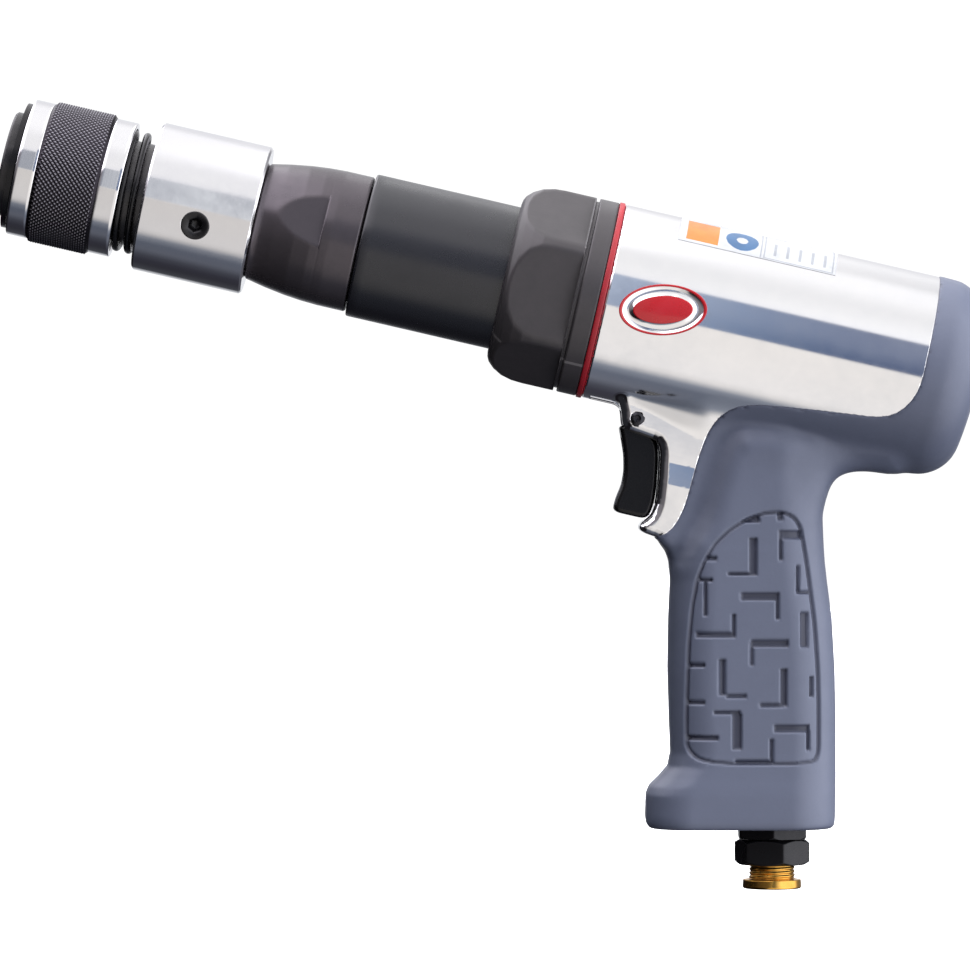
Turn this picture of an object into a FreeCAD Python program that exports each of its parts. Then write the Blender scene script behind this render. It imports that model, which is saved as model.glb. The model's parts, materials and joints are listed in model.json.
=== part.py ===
import FreeCAD, Part
import math
import os
import Sketcher

# A long-barrel pneumatic air hammer with a pistol grip and a quick-change tool retainer.
# Frame: +X runs from the muzzle to the rear cap along the barrel axis, +Z is up, and the origin is
# the centre of the tool socket's mouth, on the barrel's front face. Sizes are in millimetres.
# "Along" and "down" are measured in the handle's own raked frame: along is across the handle towards
# its back, down is along the handle towards its base.

DIMENSIONS = (
    # retainer, from the nose backwards
    ("nose_front", -40.6, "front face of the retainer body"),
    ("nose_radius", 15.0, "nose lip of the retainer body"),
    ("collar_recess_radius", 9.9, "recess that takes the collar of a chisel"),
    ("retainer_radius", 14.6, "tube that the sleeve slides on"),
    ("retainer_rear", 13.0, "rear end of the retainer body"),
    ("ring_front", -37.85, "snap ring front"),
    ("ring_rear", -36.35, "snap ring rear"),
    ("ring_seat_radius", 13.8, "bottom of the snap ring groove"),
    ("ring_radius", 18.1, "snap ring outside"),
    ("sleeve_front", -36.0, "retainer sleeve front"),
    ("sleeve_rear", -6.0, "retainer sleeve rear"),
    ("sleeve_front_radius", 19.6, "front chrome band"),
    ("sleeve_rear_radius", 19.5, "rear chrome band"),
    ("sleeve_land_radius", 14.7, "bore that slides on the retainer body"),
    ("sleeve_pocket_radius", 17.9, "spring pocket in the sleeve"),
    ("sleeve_pocket_front", -12.0, "shoulder that the spring pushes on"),
    ("grip_ring_front", -30.2, "front of the knurled ring"),
    ("grip_ring_rear", -12.2, "rear of the knurled ring"),
    ("grip_ring_seat", 18.9, "seat of the knurled ring"),
    ("grip_ring_radius", 20.3, "outside of the knurled ring"),
    ("ball_radius", 3.0, "locking ball"),
    ("ball_station", -28.0, "axial place of the locking balls"),
    ("ball_orbit", 11.9, "radius of the ball centres in the locked state"),
    ("ramp_slope", 0.24444, "how fast the sleeve's ramp opens towards the nose"),
    ("ramp_radius", 15.297, "ramp radius over the ball centres"),
    ("window_inner_radius", 2.215, "ball window at the window's inner end"),
    ("window_outer_radius", 4.665, "ball window at the window's outer end"),
    ("spring_wire", 1.05, "wire radius of the sleeve spring"),
    ("spring_coil", 16.45, "coil radius of the sleeve spring"),
    ("spring_start", -10.85, "first coil centre"),
    ("spring_span", 10.7, "first to last coil centre"),
    ("spring_pitch", 3.5667, "pitch of the sleeve spring"),
    # lock collar
    ("collar_front", 1.0, "lock collar front"),
    ("collar_rear", 33.0, "lock collar rear"),
    ("collar_radius", 21.4, "lock collar outside"),
    ("screw_station", 17.2, "set screw from the barrel's front face"),
    ("screw_radius", 3.0, "set screw"),
    ("screw_socket", 3.4, "set screw hexagon socket across flats"),
    ("screw_angle", 16.3, "set screw below the side, in degrees"),
    # barrel
    ("socket_radius", 5.15, "tool socket for a 0.401 in shank"),
    ("socket_depth", 31.0, "depth of the tool socket"),
    ("spigot_radius", 12.0, "front spigot of the barrel"),
    ("bore_radius", 9.55, "piston bore"),
    ("bore_front", 34.0, "front end of the piston bore"),
    ("barrel_rear", 160.0, "rear end of the barrel"),
    ("barrel_radius", 16.6, "barrel inside the sleeve and the housing"),
    ("nose_cone_radius", 16.8, "front of the barrel's cone"),
    ("nose_body_radius", 19.6, "rear of the barrel's cone"),
    ("nose_rear", 62.4, "rear of the barrel's cone"),
    ("flat_distance", 17.97, "wrench flat from the axis"),
    ("flat_front", 37.0, "wrench flat front"),
    ("flat_rear", 52.5, "wrench flat rear wall"),
    ("flat_angle", 11.0, "wrench flat turned up from the side, in degrees"),
    ("flange_front", 112.0, "barrel flange front"),
    ("flange_rear", 117.9, "barrel flange rear"),
    ("flange_radius", 21.4, "barrel flange"),
    ("barrel_seal_station", 152.0, "O-ring on the barrel"),
    ("barrel_seal_ring", 15.74, "O-ring centre radius"),
    ("barrel_seal_wire", 0.82, "O-ring section radius"),
    ("port_station", 141.0, "exhaust ports in the barrel"),
    ("port_radius", 2.2, "exhaust ports in the barrel"),
    ("piston_front", 122.4, "piston front face"),
    ("piston_rear", 158.4, "piston rear face"),
    ("piston_radius", 9.5, "piston"),
    # barrel sleeve, nut and gasket
    ("tube_front", 63.5, "black barrel sleeve front"),
    ("tube_rear", 109.9, "black barrel sleeve rear"),
    ("tube_radius", 20.7, "black barrel sleeve outside"),
    ("nut_front", 105.5, "nut front"),
    ("nut_crown", 117.0, "nut reaches its full radius"),
    ("nut_flats_rear", 126.0, "rear end of the nut's flats"),
    ("nut_rear", 132.8, "nut rear"),
    ("nut_radius", 28.2, "nut outside"),
    ("nut_flats", 50.0, "nut across flats"),
    ("nut_angle", 6.0, "nut turned about the axis, in degrees"),
    ("thread_radius", 22.0, "housing spigot thread"),
    ("gasket_radius", 28.5, "gasket outside"),
    ("gasket_rear", 134.5, "gasket rear"),
    # housing
    ("spigot_front", 118.0, "front of the housing spigot"),
    ("housing_radius", 28.2, "housing outside"),
    ("housing_rear", 236.0, "rear of the metal before the cap region is cut"),
    ("housing_bore", 16.65, "bore for the barrel and the valve"),
    ("exhaust_front", 136.5, "exhaust chamber front"),
    ("exhaust_rear", 148.0, "exhaust chamber rear"),
    ("exhaust_radius", 21.0, "exhaust chamber"),
    ("chamber_front", 183.0, "rear end of the valve bore"),
    ("chamber_rear", 197.0, "rear end of the supply chamber"),
    ("chamber_radius", 12.0, "supply chamber"),
    ("core_radius", 25.2, "housing under the rubber cap"),
    ("core_rear", 240.2, "rear of the housing under the rubber cap"),
    ("cap_rear", 243.6, "rear of the rubber cap"),
    ("neck_half_width", 12.5, "half width of the trigger neck"),
    ("slot_half_width", 7.9, "half width of the trigger slot"),
    # handle, in the raked frame
    ("rake", 13.0, "rake of the handle, in degrees"),
    ("rubber", 3.0, "thickness of the rubber overmould"),
    ("handle_front", 149.7, "front of the handle, along"),
    ("handle_base", 180.6, "base of the handle, down"),
    ("toe_front", 143.0, "front of the toe, along"),
    # trigger
    ("pin_x", 151.2, "trigger pin along the barrel axis"),
    ("pin_z", -30.8, "trigger pin height"),
    ("pin_radius", 1.8, "trigger pin"),
    ("pin_hole", 1.85, "hole in the trigger"),
    ("trigger_half_width", 7.5, "half width of the trigger"),
    # throttle, in the raked frame
    ("throttle_down", 83.2, "throttle axis, down"),
    ("throttle_bore", 7.0, "throttle bore"),
    ("throttle_bore_end", 182.2, "blind end of the throttle bore, along"),
    ("guide_front", 151.3, "stem guide front, along"),
    ("guide_rear", 159.0, "stem guide rear, along"),
    ("seat_front", 164.0, "throttle seat front, along"),
    ("seat_rear", 166.5, "throttle seat rear, along"),
    ("stem_front", 146.45, "stem tip, along"),
    ("stem_radius", 1.5, "throttle stem"),
    ("head_front", 166.8, "throttle head front, along"),
    ("head_rear", 169.6, "throttle head rear, along"),
    ("return_wire", 0.45, "wire radius of the throttle spring"),
    ("return_coil", 3.6, "coil radius of the throttle spring"),
    ("return_start", 170.2, "first coil centre of the throttle spring, along"),
    ("return_span", 11.4, "first to last coil centre of the throttle spring"),
    ("return_pitch", 1.9, "pitch of the throttle spring"),
    # inlet, in the raked frame
    ("inlet_along", 179.2, "inlet axis, along"),
    ("inlet_passage", 5.5, "air passage up the handle"),
    ("inlet_bore", 9.0, "threaded hole for the inlet bushing"),
    ("inlet_bore_top", 157.0, "top of that hole, down"),
    ("bushing_top", 160.0, "inlet bushing top, down"),
    ("bushing_base", 183.7, "inlet bushing's lower face, down"),
    ("pipe_radius", 6.7, "quarter inch pipe thread"),
    ("adapter_top", 172.0, "adapter top, down"),
    ("adapter_shoulder", 184.0, "adapter hexagon top, down"),
    ("adapter_base", 191.2, "adapter hexagon base, down"),
    ("hexagon", 19.05, "inlet hexagons across flats"),
    ("nipple_top", 185.0, "hose nipple top, down"),
    ("nipple_flange", 195.4, "hose nipple flange top, down"),
    ("nipple_base", 198.0, "hose nipple lower end, down"),
    ("nipple_bore", 3.5, "air bore of the nipple"),
)

SIZES = {alias: value for alias, value, _ in DIMENSIONS}
BALL_ANGLES = (90.0, 210.0, 330.0)
Y_AXIS = FreeCAD.Vector(0, 1, 0)
X_AXIS = FreeCAD.Vector(1, 0, 0)
Z_AXIS = FreeCAD.Vector(0, 0, 1)

doc = FreeCAD.newDocument("air_hammer")
nodes = {}


def fill_sheet():
    """Put every driving size into the spreadsheet under its alias."""
    sheet = doc.addObject("Spreadsheet::Sheet", "Dims")
    for row, (alias, value, meaning) in enumerate(DIMENSIONS, 1):
        sheet.set(f"A{row}", meaning)
        sheet.set(f"B{row}", str(value))
        sheet.setAlias(f"B{row}", alias)
    doc.recompute()


def resolve(item):
    """Give the number and the expression of an alias, an (alias, offset[, factor]) or a number."""
    if isinstance(item, str):
        return SIZES[item], "Dims." + item
    if isinstance(item, tuple):
        name, offset = item[0], item[1]
        factor = item[2] if len(item) == 3 else 1.0
        return SIZES[name] * factor + offset, f"Dims.{name} * {factor} + ({offset})"
    return float(item), None


def keep(node, name=None):
    """Register an object as a sub-part, and give it its label."""
    label = name or node.Label
    node.Label = label
    nodes[label] = node
    return node


def new_body(name):
    """Start an empty PartDesign body."""
    body = doc.addObject("PartDesign::Body", name)
    body.Label = name
    return body


def origin_plane(body, role):
    """Find one of a body's own origin planes."""
    return next(item for item in body.Origin.OriginFeatures if item.Role == role)


def new_sketch(body, name, plane, lift=None, turn=0.0):
    """Attach a sketch to a body's plane, lifted off it and turned in it."""
    sketch = body.newObject("Sketcher::SketchObject", name)
    sketch.AttachmentSupport = [(origin_plane(body, plane), "")]
    sketch.MapMode = "FlatFace"
    number, text = resolve(lift) if lift is not None else (0.0, None)
    sketch.AttachmentOffset = FreeCAD.Placement(
        FreeCAD.Vector(0, 0, number), FreeCAD.Rotation(Z_AXIS, turn)
    )
    if text:
        sketch.setExpression("AttachmentOffset.Base.z", text)
    return sketch


def pin_point(sketch, geometry, point, place):
    """Hold one point of a sketch at a place measured from the sketch's origin."""
    for kind, item in zip(("DistanceX", "DistanceY"), place):
        number, text = resolve(item)
        index = sketch.addConstraint(Sketcher.Constraint(kind, -1, 1, geometry, point, number))
        if text:
            sketch.setExpression(f"Constraints[{index}]", text)


def polygon(sketch, corners):
    """Draw a closed polygon whose corners are held by the sheet."""
    spots = [FreeCAD.Vector(resolve(a)[0], resolve(b)[0], 0) for a, b in corners]
    first = sketch.GeometryCount
    count = len(spots)
    for i in range(count):
        sketch.addGeometry(Part.LineSegment(spots[i], spots[(i + 1) % count]), False)
    for i in range(count):
        after = first + (i + 1) % count
        sketch.addConstraint(Sketcher.Constraint("Coincident", first + i, 2, after, 1))
    for i in range(count):
        pin_point(sketch, first + i, 1, corners[i])


def circle(sketch, place, radius):
    """Draw a circle held by the sheet."""
    number, text = resolve(radius)
    middle = FreeCAD.Vector(resolve(place[0])[0], resolve(place[1])[0], 0)
    index = sketch.addGeometry(Part.Circle(middle, Z_AXIS, number), False)
    pin_point(sketch, index, 3, place)
    held = sketch.addConstraint(Sketcher.Constraint("Radius", index, number))
    if text:
        sketch.setExpression(f"Constraints[{held}]", text)


def rounded_rectangle(sketch, low, high, half_width, radius):
    """Draw a rectangle with round corners, symmetric about the sketch's horizontal axis."""
    x0, x1, w, r = (resolve(item)[0] for item in (low, high, half_width, radius))
    corners = (
        (x0 + r, -w), (x1 - r, -w), (x1, -w + r), (x1, w - r),
        (x1 - r, w), (x0 + r, w), (x0, w - r), (x0, -w + r),
    )
    spots = [FreeCAD.Vector(a, b, 0) for a, b in corners]
    centres = ((x1 - r, -w + r), (x1 - r, w - r), (x0 + r, w - r), (x0 + r, -w + r))
    for side in range(4):
        sketch.addGeometry(Part.LineSegment(spots[2 * side], spots[2 * side + 1]), False)
        middle = FreeCAD.Vector(centres[side][0], centres[side][1], 0)
        turn = math.pi / 2 * (side - 1)
        arc = Part.ArcOfCircle(Part.Circle(middle, Z_AXIS, r), turn, turn + math.pi / 2)
        sketch.addGeometry(arc, False)
    for side in range(4):
        line, arc, after = 2 * side, 2 * side + 1, (2 * side + 2) % 8
        sketch.addConstraint(Sketcher.Constraint("Tangent", line, 2, arc, 1))
        sketch.addConstraint(Sketcher.Constraint("Tangent", arc, 2, after, 1))
        kind = "Vertical" if side % 2 else "Horizontal"
        sketch.addConstraint(Sketcher.Constraint(kind, line))
    for arc in (3, 5, 7):
        sketch.addConstraint(Sketcher.Constraint("Equal", 1, arc))
    held = (
        (Sketcher.Constraint("Radius", 1, r), radius),
        (Sketcher.Constraint("DistanceY", -1, 1, 4, 1, w), half_width),
        (Sketcher.Constraint("DistanceY", 0, 1, -1, 1, w), half_width),
        (Sketcher.Constraint("DistanceX", -1, 1, 2, 1, x1), high),
        (Sketcher.Constraint("DistanceX", -1, 1, 6, 1, x0), low),
    )
    for constraint, item in held:
        index = sketch.addConstraint(constraint)
        text = resolve(item)[1]
        if text:
            sketch.setExpression(f"Constraints[{index}]", text)


def revolved(name, corners, axis="H_Axis", angle=360.0):
    """Turn an (axial, radial) profile about the body's X axis, or its Z axis for V_Axis."""
    body = new_body(name)
    sketch = new_sketch(body, name + "_profile", "XZ_Plane")
    if axis == "V_Axis":
        corners = [(radial, axial) for axial, radial in corners]
    polygon(sketch, corners)
    turned = body.newObject("PartDesign::Revolution", name + "_turned")
    turned.Profile = sketch
    turned.ReferenceAxis = (sketch, [axis])
    turned.Angle = angle
    return body


def padded(name, corners, half_width):
    """Pad a side-view outline equally to both sides of the middle plane."""
    body = new_body(name)
    sketch = new_sketch(body, name + "_outline", "XZ_Plane")
    polygon(sketch, corners)
    pad = body.newObject("PartDesign::Pad", name + "_pad")
    pad.Profile = sketch
    pad.Midplane = True
    number, text = resolve((half_width, 0.0, 2.0) if isinstance(half_width, str) else 2.0 * half_width)
    pad.Length = number
    if text:
        pad.setExpression("Length", text)
    return body


def helical(name, start, coil, wire, pitch, span):
    """Sweep a wire section along a helix about the body's X axis."""
    body = new_body(name)
    sketch = new_sketch(body, name + "_section", "XZ_Plane")
    circle(sketch, (start, coil), wire)
    helix = body.newObject("PartDesign::AdditiveHelix", name + "_coils")
    helix.Profile = sketch
    helix.ReferenceAxis = (sketch, ["H_Axis"])
    helix.Mode = 0
    helix.Pitch = SIZES[pitch]
    helix.Height = SIZES[span]
    helix.setExpression("Pitch", "Dims." + pitch)
    helix.setExpression("Height", "Dims." + span)
    return body


def hexagon_corners(across):
    """Give the six corners of a hexagon as factors of its width across flats."""
    reach = 1 / math.sqrt(3)
    turns = [math.radians(30 + 60 * i) for i in range(6)]
    return [((across, 0.0, reach * math.cos(a)), (across, 0.0, reach * math.sin(a))) for a in turns]


def rod(name, radius, length, base, direction):
    """Make a plain cylinder from a base point along a direction."""
    cylinder = doc.addObject("Part::Cylinder", name)
    number, text = resolve(radius)
    cylinder.Radius = number
    cylinder.Height = length
    if text:
        cylinder.setExpression("Radius", text)
    turn = FreeCAD.Rotation(Z_AXIS, FreeCAD.Vector(*direction))
    cylinder.Placement = FreeCAD.Placement(FreeCAD.Vector(*base), turn)
    return cylinder


def torus(name, ring, wire, station):
    """Make an O-ring about the body's X axis."""
    ring_body = doc.addObject("Part::Torus", name)
    ring_body.Radius1 = SIZES[ring]
    ring_body.Radius2 = SIZES[wire]
    ring_body.setExpression("Radius1", "Dims." + ring)
    ring_body.setExpression("Radius2", "Dims." + wire)
    ring_body.Placement = FreeCAD.Placement(
        FreeCAD.Vector(resolve(station)[0], 0, 0), FreeCAD.Rotation(Y_AXIS, 90)
    )
    return ring_body


def joined(name, parts):
    """Fuse several objects into one."""
    union = doc.addObject("Part::MultiFuse", name)
    union.Shapes = parts
    return union


def cut(name, base, tools):
    """Cut one tool, or several, from a base."""
    result = doc.addObject("Part::Cut", name)
    result.Base = base
    result.Tool = tools[0] if len(tools) == 1 else joined(name + "_tools", tools)
    return result


def rake_place(node, along=0.0, down=0.0):
    """Put an object in the handle's raked frame, with the sheet holding its place."""
    far, far_text = resolve(along)
    low, low_text = resolve(down)
    turn = math.radians(SIZES["rake"])
    base = FreeCAD.Vector(
        far * math.cos(turn) + low * math.sin(turn), 0, far * math.sin(turn) - low * math.cos(turn)
    )
    node.Placement = FreeCAD.Placement(base, FreeCAD.Rotation(Y_AXIS, -SIZES["rake"]))
    far_text = far_text or str(far)
    low_text = low_text or str(low)
    node.setExpression(
        "Placement.Base.x", f"({far_text}) * cos(Dims.rake) + ({low_text}) * sin(Dims.rake)"
    )
    node.setExpression(
        "Placement.Base.z", f"({far_text}) * sin(Dims.rake) - ({low_text}) * cos(Dims.rake)"
    )
    return node


def build_retainer():
    """Make the quick-change retainer: tube, snap ring, balls, sliding sleeve and spring."""
    tube = revolved("retainer_tube", [
        ("nose_front", ("collar_recess_radius", 1.0)),
        ("nose_front", ("nose_radius", -0.5)),
        (("nose_front", 0.5), "nose_radius"),
        (("ring_front", -0.05), "nose_radius"),
        (("ring_front", -0.05), "ring_seat_radius"),
        (("ring_rear", 0.05), "ring_seat_radius"),
        (("ring_rear", 0.05), "retainer_radius"),
        ("retainer_rear", "retainer_radius"),
        ("retainer_rear", "spigot_radius"),
        (0.0, "spigot_radius"),
        (0.0, "collar_recess_radius"),
        (("nose_front", 1.0), "collar_recess_radius"),
    ])
    windows = []
    for number, angle in enumerate(BALL_ANGLES, 1):
        out = (0.0, math.cos(math.radians(angle)), math.sin(math.radians(angle)))
        window = doc.addObject("Part::Cone", f"ball_window_{number}")
        window.setExpression("Radius1", "Dims.window_inner_radius")
        window.setExpression("Radius2", "Dims.window_outer_radius")
        window.Height = 7.0
        turn = FreeCAD.Rotation(Z_AXIS, FreeCAD.Vector(*out))
        foot = FreeCAD.Vector(SIZES["ball_station"], out[1] * 9.0, out[2] * 9.0)
        window.Placement = FreeCAD.Placement(foot, turn)
        windows.append(window)
        ball = doc.addObject("Part::Sphere", f"retainer_ball_{number}")
        ball.Radius = SIZES["ball_radius"]
        ball.setExpression("Radius", "Dims.ball_radius")
        orbit = SIZES["ball_orbit"]
        ball.Placement.Base = FreeCAD.Vector(SIZES["ball_station"], out[1] * orbit, out[2] * orbit)
        keep(ball, f"retainer_ball_{number}")
    keep(cut("retainer_body", tube, windows))

    ring = revolved("nose_snap_ring", [
        ("ring_front", "ring_seat_radius"),
        ("ring_rear", "ring_seat_radius"),
        ("ring_rear", "ring_radius"),
        ("ring_front", "ring_radius"),
    ], angle=350.0)
    ring.Placement = FreeCAD.Placement(FreeCAD.Vector(), FreeCAD.Rotation(X_AXIS, -85.0))
    keep(ring)

    slope = SIZES["ramp_slope"]
    lead = SIZES["ball_station"] - SIZES["sleeve_front"]
    run_out = (SIZES["ramp_radius"] - SIZES["sleeve_land_radius"]) / slope
    keep(revolved("retainer_sleeve", [
        ("sleeve_front", ("ramp_radius", lead * slope)),
        (("ball_station", run_out), "sleeve_land_radius"),
        ("sleeve_pocket_front", "sleeve_land_radius"),
        ("sleeve_pocket_front", "sleeve_pocket_radius"),
        ("sleeve_rear", "sleeve_pocket_radius"),
        ("sleeve_rear", ("sleeve_rear_radius", -0.4)),
        (("sleeve_rear", -0.4), "sleeve_rear_radius"),
        ("grip_ring_rear", "sleeve_rear_radius"),
        ("grip_ring_rear", "grip_ring_seat"),
        ("grip_ring_front", "grip_ring_seat"),
        ("grip_ring_front", "sleeve_front_radius"),
        (("sleeve_front", 0.8), "sleeve_front_radius"),
        ("sleeve_front", ("sleeve_front_radius", -0.8)),
    ]))
    keep(revolved("sleeve_grip_ring", [
        ("grip_ring_front", "grip_ring_seat"),
        ("grip_ring_rear", "grip_ring_seat"),
        ("grip_ring_rear", ("grip_ring_radius", -0.4)),
        (("grip_ring_rear", -0.4), "grip_ring_radius"),
        (("grip_ring_front", 0.4), "grip_ring_radius"),
        ("grip_ring_front", ("grip_ring_radius", -0.4)),
    ]))
    keep(helical("sleeve_spring", "spring_start", "spring_coil", "spring_wire", "spring_pitch",
                 "spring_span"))


def build_lock_collar():
    """Make the lock collar that ties the retainer to the barrel, and its set screw."""
    ring = revolved("collar_ring", [
        ("collar_front", ("retainer_radius", 0.05)),
        (("retainer_rear", 0.05), ("retainer_radius", 0.05)),
        (("retainer_rear", 0.05), "spigot_radius"),
        ("collar_rear", "spigot_radius"),
        ("collar_rear", ("collar_radius", -0.6)),
        (("collar_rear", -0.6), "collar_radius"),
        (("collar_front", 0.6), "collar_radius"),
        ("collar_front", ("collar_radius", -0.6)),
    ])
    tilt = math.radians(SIZES["screw_angle"])
    out = FreeCAD.Vector(0, -math.cos(tilt), -math.sin(tilt))
    place = FreeCAD.Placement(
        FreeCAD.Vector(SIZES["screw_station"], 0, 0), FreeCAD.Rotation(Z_AXIS, out)
    )
    hole = revolved("screw_hole", [
        (11.0, 0.0),
        (11.0, "screw_radius"),
        (("collar_radius", -1.1), "screw_radius"),
        (("collar_radius", 0.6), ("screw_radius", 1.7)),
        (("collar_radius", 0.6), 0.0),
    ], axis="V_Axis")
    hole.Placement = place
    keep(cut("lock_collar", ring, [hole]))

    screw = revolved("collar_set_screw", [
        (12.05, 0.0),
        (12.05, ("screw_radius", -0.8)),
        (12.85, "screw_radius"),
        (("collar_radius", -1.6), "screw_radius"),
        (("collar_radius", -1.2), ("screw_radius", -0.4)),
        (("collar_radius", -1.2), 0.0),
    ], axis="V_Axis")
    doc.recompute()
    socket = new_sketch(screw, "screw_socket_outline", "XY_Plane", lift=("collar_radius", -1.2))
    polygon(socket, hexagon_corners("screw_socket"))
    pocket = screw.newObject("PartDesign::Pocket", "screw_socket_pocket")
    pocket.Profile = socket
    pocket.Length = 3.0
    screw.Placement = place
    keep(screw)


def build_barrel():
    """Make the barrel with its wrench flats, exhaust ports and seal groove, and the piston."""
    seal = SIZES["barrel_seal_station"]
    blank = revolved("barrel_blank", [
        (0.0, "socket_radius"),
        (0.0, "spigot_radius"),
        ("collar_rear", "spigot_radius"),
        ("collar_rear", "nose_cone_radius"),
        (45.0, 18.9),
        (55.0, "nose_body_radius"),
        ("nose_rear", "nose_body_radius"),
        ("nose_rear", "barrel_radius"),
        ("flange_front", "barrel_radius"),
        ("flange_front", "flange_radius"),
        ("flange_rear", "flange_radius"),
        ("flange_rear", "barrel_radius"),
        (seal - 1.0, "barrel_radius"),
        (seal - 1.0, 14.9),
        (seal + 1.0, 14.9),
        (seal + 1.0, "barrel_radius"),
        ("barrel_rear", "barrel_radius"),
        ("barrel_rear", "bore_radius"),
        ("bore_front", "bore_radius"),
        ("socket_depth", "socket_radius"),
    ])
    tools = []
    for side in (0, 1):
        flat = doc.addObject("Part::Box", f"wrench_flat_{side + 1}")
        flat.Length = SIZES["flat_rear"] - SIZES["flat_front"]
        flat.setExpression("Length", "Dims.flat_rear - Dims.flat_front")
        flat.Width = 5.0
        flat.Height = 40.0
        turn = FreeCAD.Rotation(X_AXIS, 180.0 * side - SIZES["flat_angle"])
        corner = FreeCAD.Vector(SIZES["flat_front"], -SIZES["flat_distance"] - 5.0, -20.0)
        flat.Placement = FreeCAD.Placement(FreeCAD.Vector(), turn) * FreeCAD.Placement(
            corner, FreeCAD.Rotation()
        )
        tools.append(flat)
    for number in range(4):
        angle = math.radians(45 + 90 * number)
        out = (0, math.cos(angle), math.sin(angle))
        foot = (SIZES["port_station"], out[1] * 7.0, out[2] * 7.0)
        tools.append(rod(f"barrel_port_{number + 1}", "port_radius", 12.0, foot, out))
    keep(cut("barrel", blank, tools))
    keep(torus("barrel_o_ring", "barrel_seal_ring", "barrel_seal_wire", "barrel_seal_station"))
    keep(revolved("piston", [
        ("piston_front", 0.0),
        ("piston_front", 5.6),
        (("piston_front", 3.6), 8.9),
        (("piston_front", 6.0), "piston_radius"),
        (("piston_rear", -18.0), "piston_radius"),
        (("piston_rear", -18.0), ("piston_radius", -0.6)),
        (("piston_rear", -16.5), ("piston_radius", -0.6)),
        (("piston_rear", -16.5), "piston_radius"),
        (("piston_rear", -1.0), "piston_radius"),
        ("piston_rear", ("piston_radius", -1.0)),
        ("piston_rear", 0.0),
    ]))


def build_nut():
    """Make the black barrel sleeve, the hexagon nut behind it and the red gasket."""
    keep(revolved("barrel_sleeve", [
        ("tube_front", ("barrel_radius", 0.05)),
        ("tube_rear", ("barrel_radius", 0.05)),
        ("tube_rear", "tube_radius"),
        (("tube_front", 1.0), "tube_radius"),
        ("tube_front", ("tube_radius", -1.0)),
    ]))
    nut = revolved("barrel_nut", [
        ("nut_front", ("tube_radius", 0.05)),
        ("nut_front", 22.6),
        (("nut_front", 0.9), 24.2),
        (("nut_front", 2.6), 25.8),
        (("nut_front", 5.2), 27.2),
        (("nut_front", 8.4), 28.0),
        ("nut_crown", "nut_radius"),
        ("nut_flats_rear", "nut_radius"),
        (("nut_flats_rear", 0.15), ("nut_radius", -1.0)),
        (("nut_flats_rear", 1.15), ("nut_radius", -1.0)),
        (("nut_flats_rear", 1.3), "nut_radius"),
        ("nut_rear", "nut_radius"),
        ("nut_rear", ("thread_radius", 0.05)),
        ("flange_front", ("thread_radius", 0.05)),
        ("flange_front", ("barrel_radius", 0.05)),
        ("tube_rear", ("barrel_radius", 0.05)),
        ("tube_rear", ("tube_radius", 0.05)),
    ])
    doc.recompute()
    flats = new_sketch(nut, "nut_flats_outline", "YZ_Plane", lift="nut_flats_rear",
                       turn=90.0 + SIZES["nut_angle"] + 30.0)
    circle(flats, (0.0, 0.0), 40.0)
    polygon(flats, hexagon_corners("nut_flats"))
    pocket = nut.newObject("PartDesign::Pocket", "nut_flats_cut")
    pocket.Profile = flats
    pocket.Length = 30.0
    keep(nut)
    keep(revolved("nut_gasket", [
        ("nut_rear", ("thread_radius", 0.05)),
        ("gasket_rear", ("thread_radius", 0.05)),
        ("gasket_rear", "gasket_radius"),
        ("nut_rear", "gasket_radius"),
    ]))


def build_valve():
    """Make the distributor valve behind the barrel: seat, plate, cap, dowel and damper."""
    radius = 16.55
    seat = revolved("valve_seat_blank", [
        ("barrel_rear", 5.0), (166.0, 5.0), (166.0, radius), ("barrel_rear", radius),
    ])
    cap = revolved("valve_cap_blank", [
        (166.0, 10.5), (169.0, 10.5), (169.0, 3.5), (179.9, 3.5), (179.9, radius), (166.0, radius),
    ])
    seat_tools = [rod("seat_dowel_hole", 1.5, 30.0, (150.0, 0, 14.0), (1, 0, 0))]
    for number in range(6):
        angle = math.radians(60 * number)
        foot = (150.0, 12.6 * math.cos(angle), 12.6 * math.sin(angle))
        if number not in (1, 2):
            seat_tools.append(rod(f"seat_port_{number + 1}", 1.2, 30.0, foot, (1, 0, 0)))
    keep(cut("valve_seat", seat, seat_tools))
    keep(cut("valve_cap", cap, [rod("cap_dowel_hole", 1.5, 8.0, (165.0, 0, 14.0), (1, 0, 0))]))
    keep(rod("valve_dowel", 1.5, 11.6, (161.2, 0, 14.0), (1, 0, 0)))
    keep(revolved("valve_plate", [(166.3, 2.0), (167.5, 2.0), (167.5, 10.0), (166.3, 10.0)]))
    keep(revolved("valve_damper", [
        (179.95, 12.4), ("chamber_front", 12.4), ("chamber_front", 16.0), (179.95, 16.0),
    ]))


HANDLE_SECTIONS = (
    # down, front, back, half width, corner radius, all of the outside
    (32.0, 0.0, 193.0, 16.8, 13.0),
    (95.0, 0.0, 194.0, 17.2, 13.0),
    (118.0, 0.0, 195.6, 17.5, 13.0),
    (138.0, 0.0, 197.0, 17.5, 13.0),
    (160.0, 0.4, 197.0, 17.5, 13.0),
)
TOE_SECTIONS = (
    (160.0, 150.1, 197.0, 17.5, 13.0),
    (165.0, 147.0, 197.0, 18.0, 13.0),
    (169.5, 143.2, 196.9, 18.4, 13.0),
    (177.4, 143.0, 196.8, 18.4, 13.0),
    (180.6, 145.2, 196.0, 17.4, 12.0),
)


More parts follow.
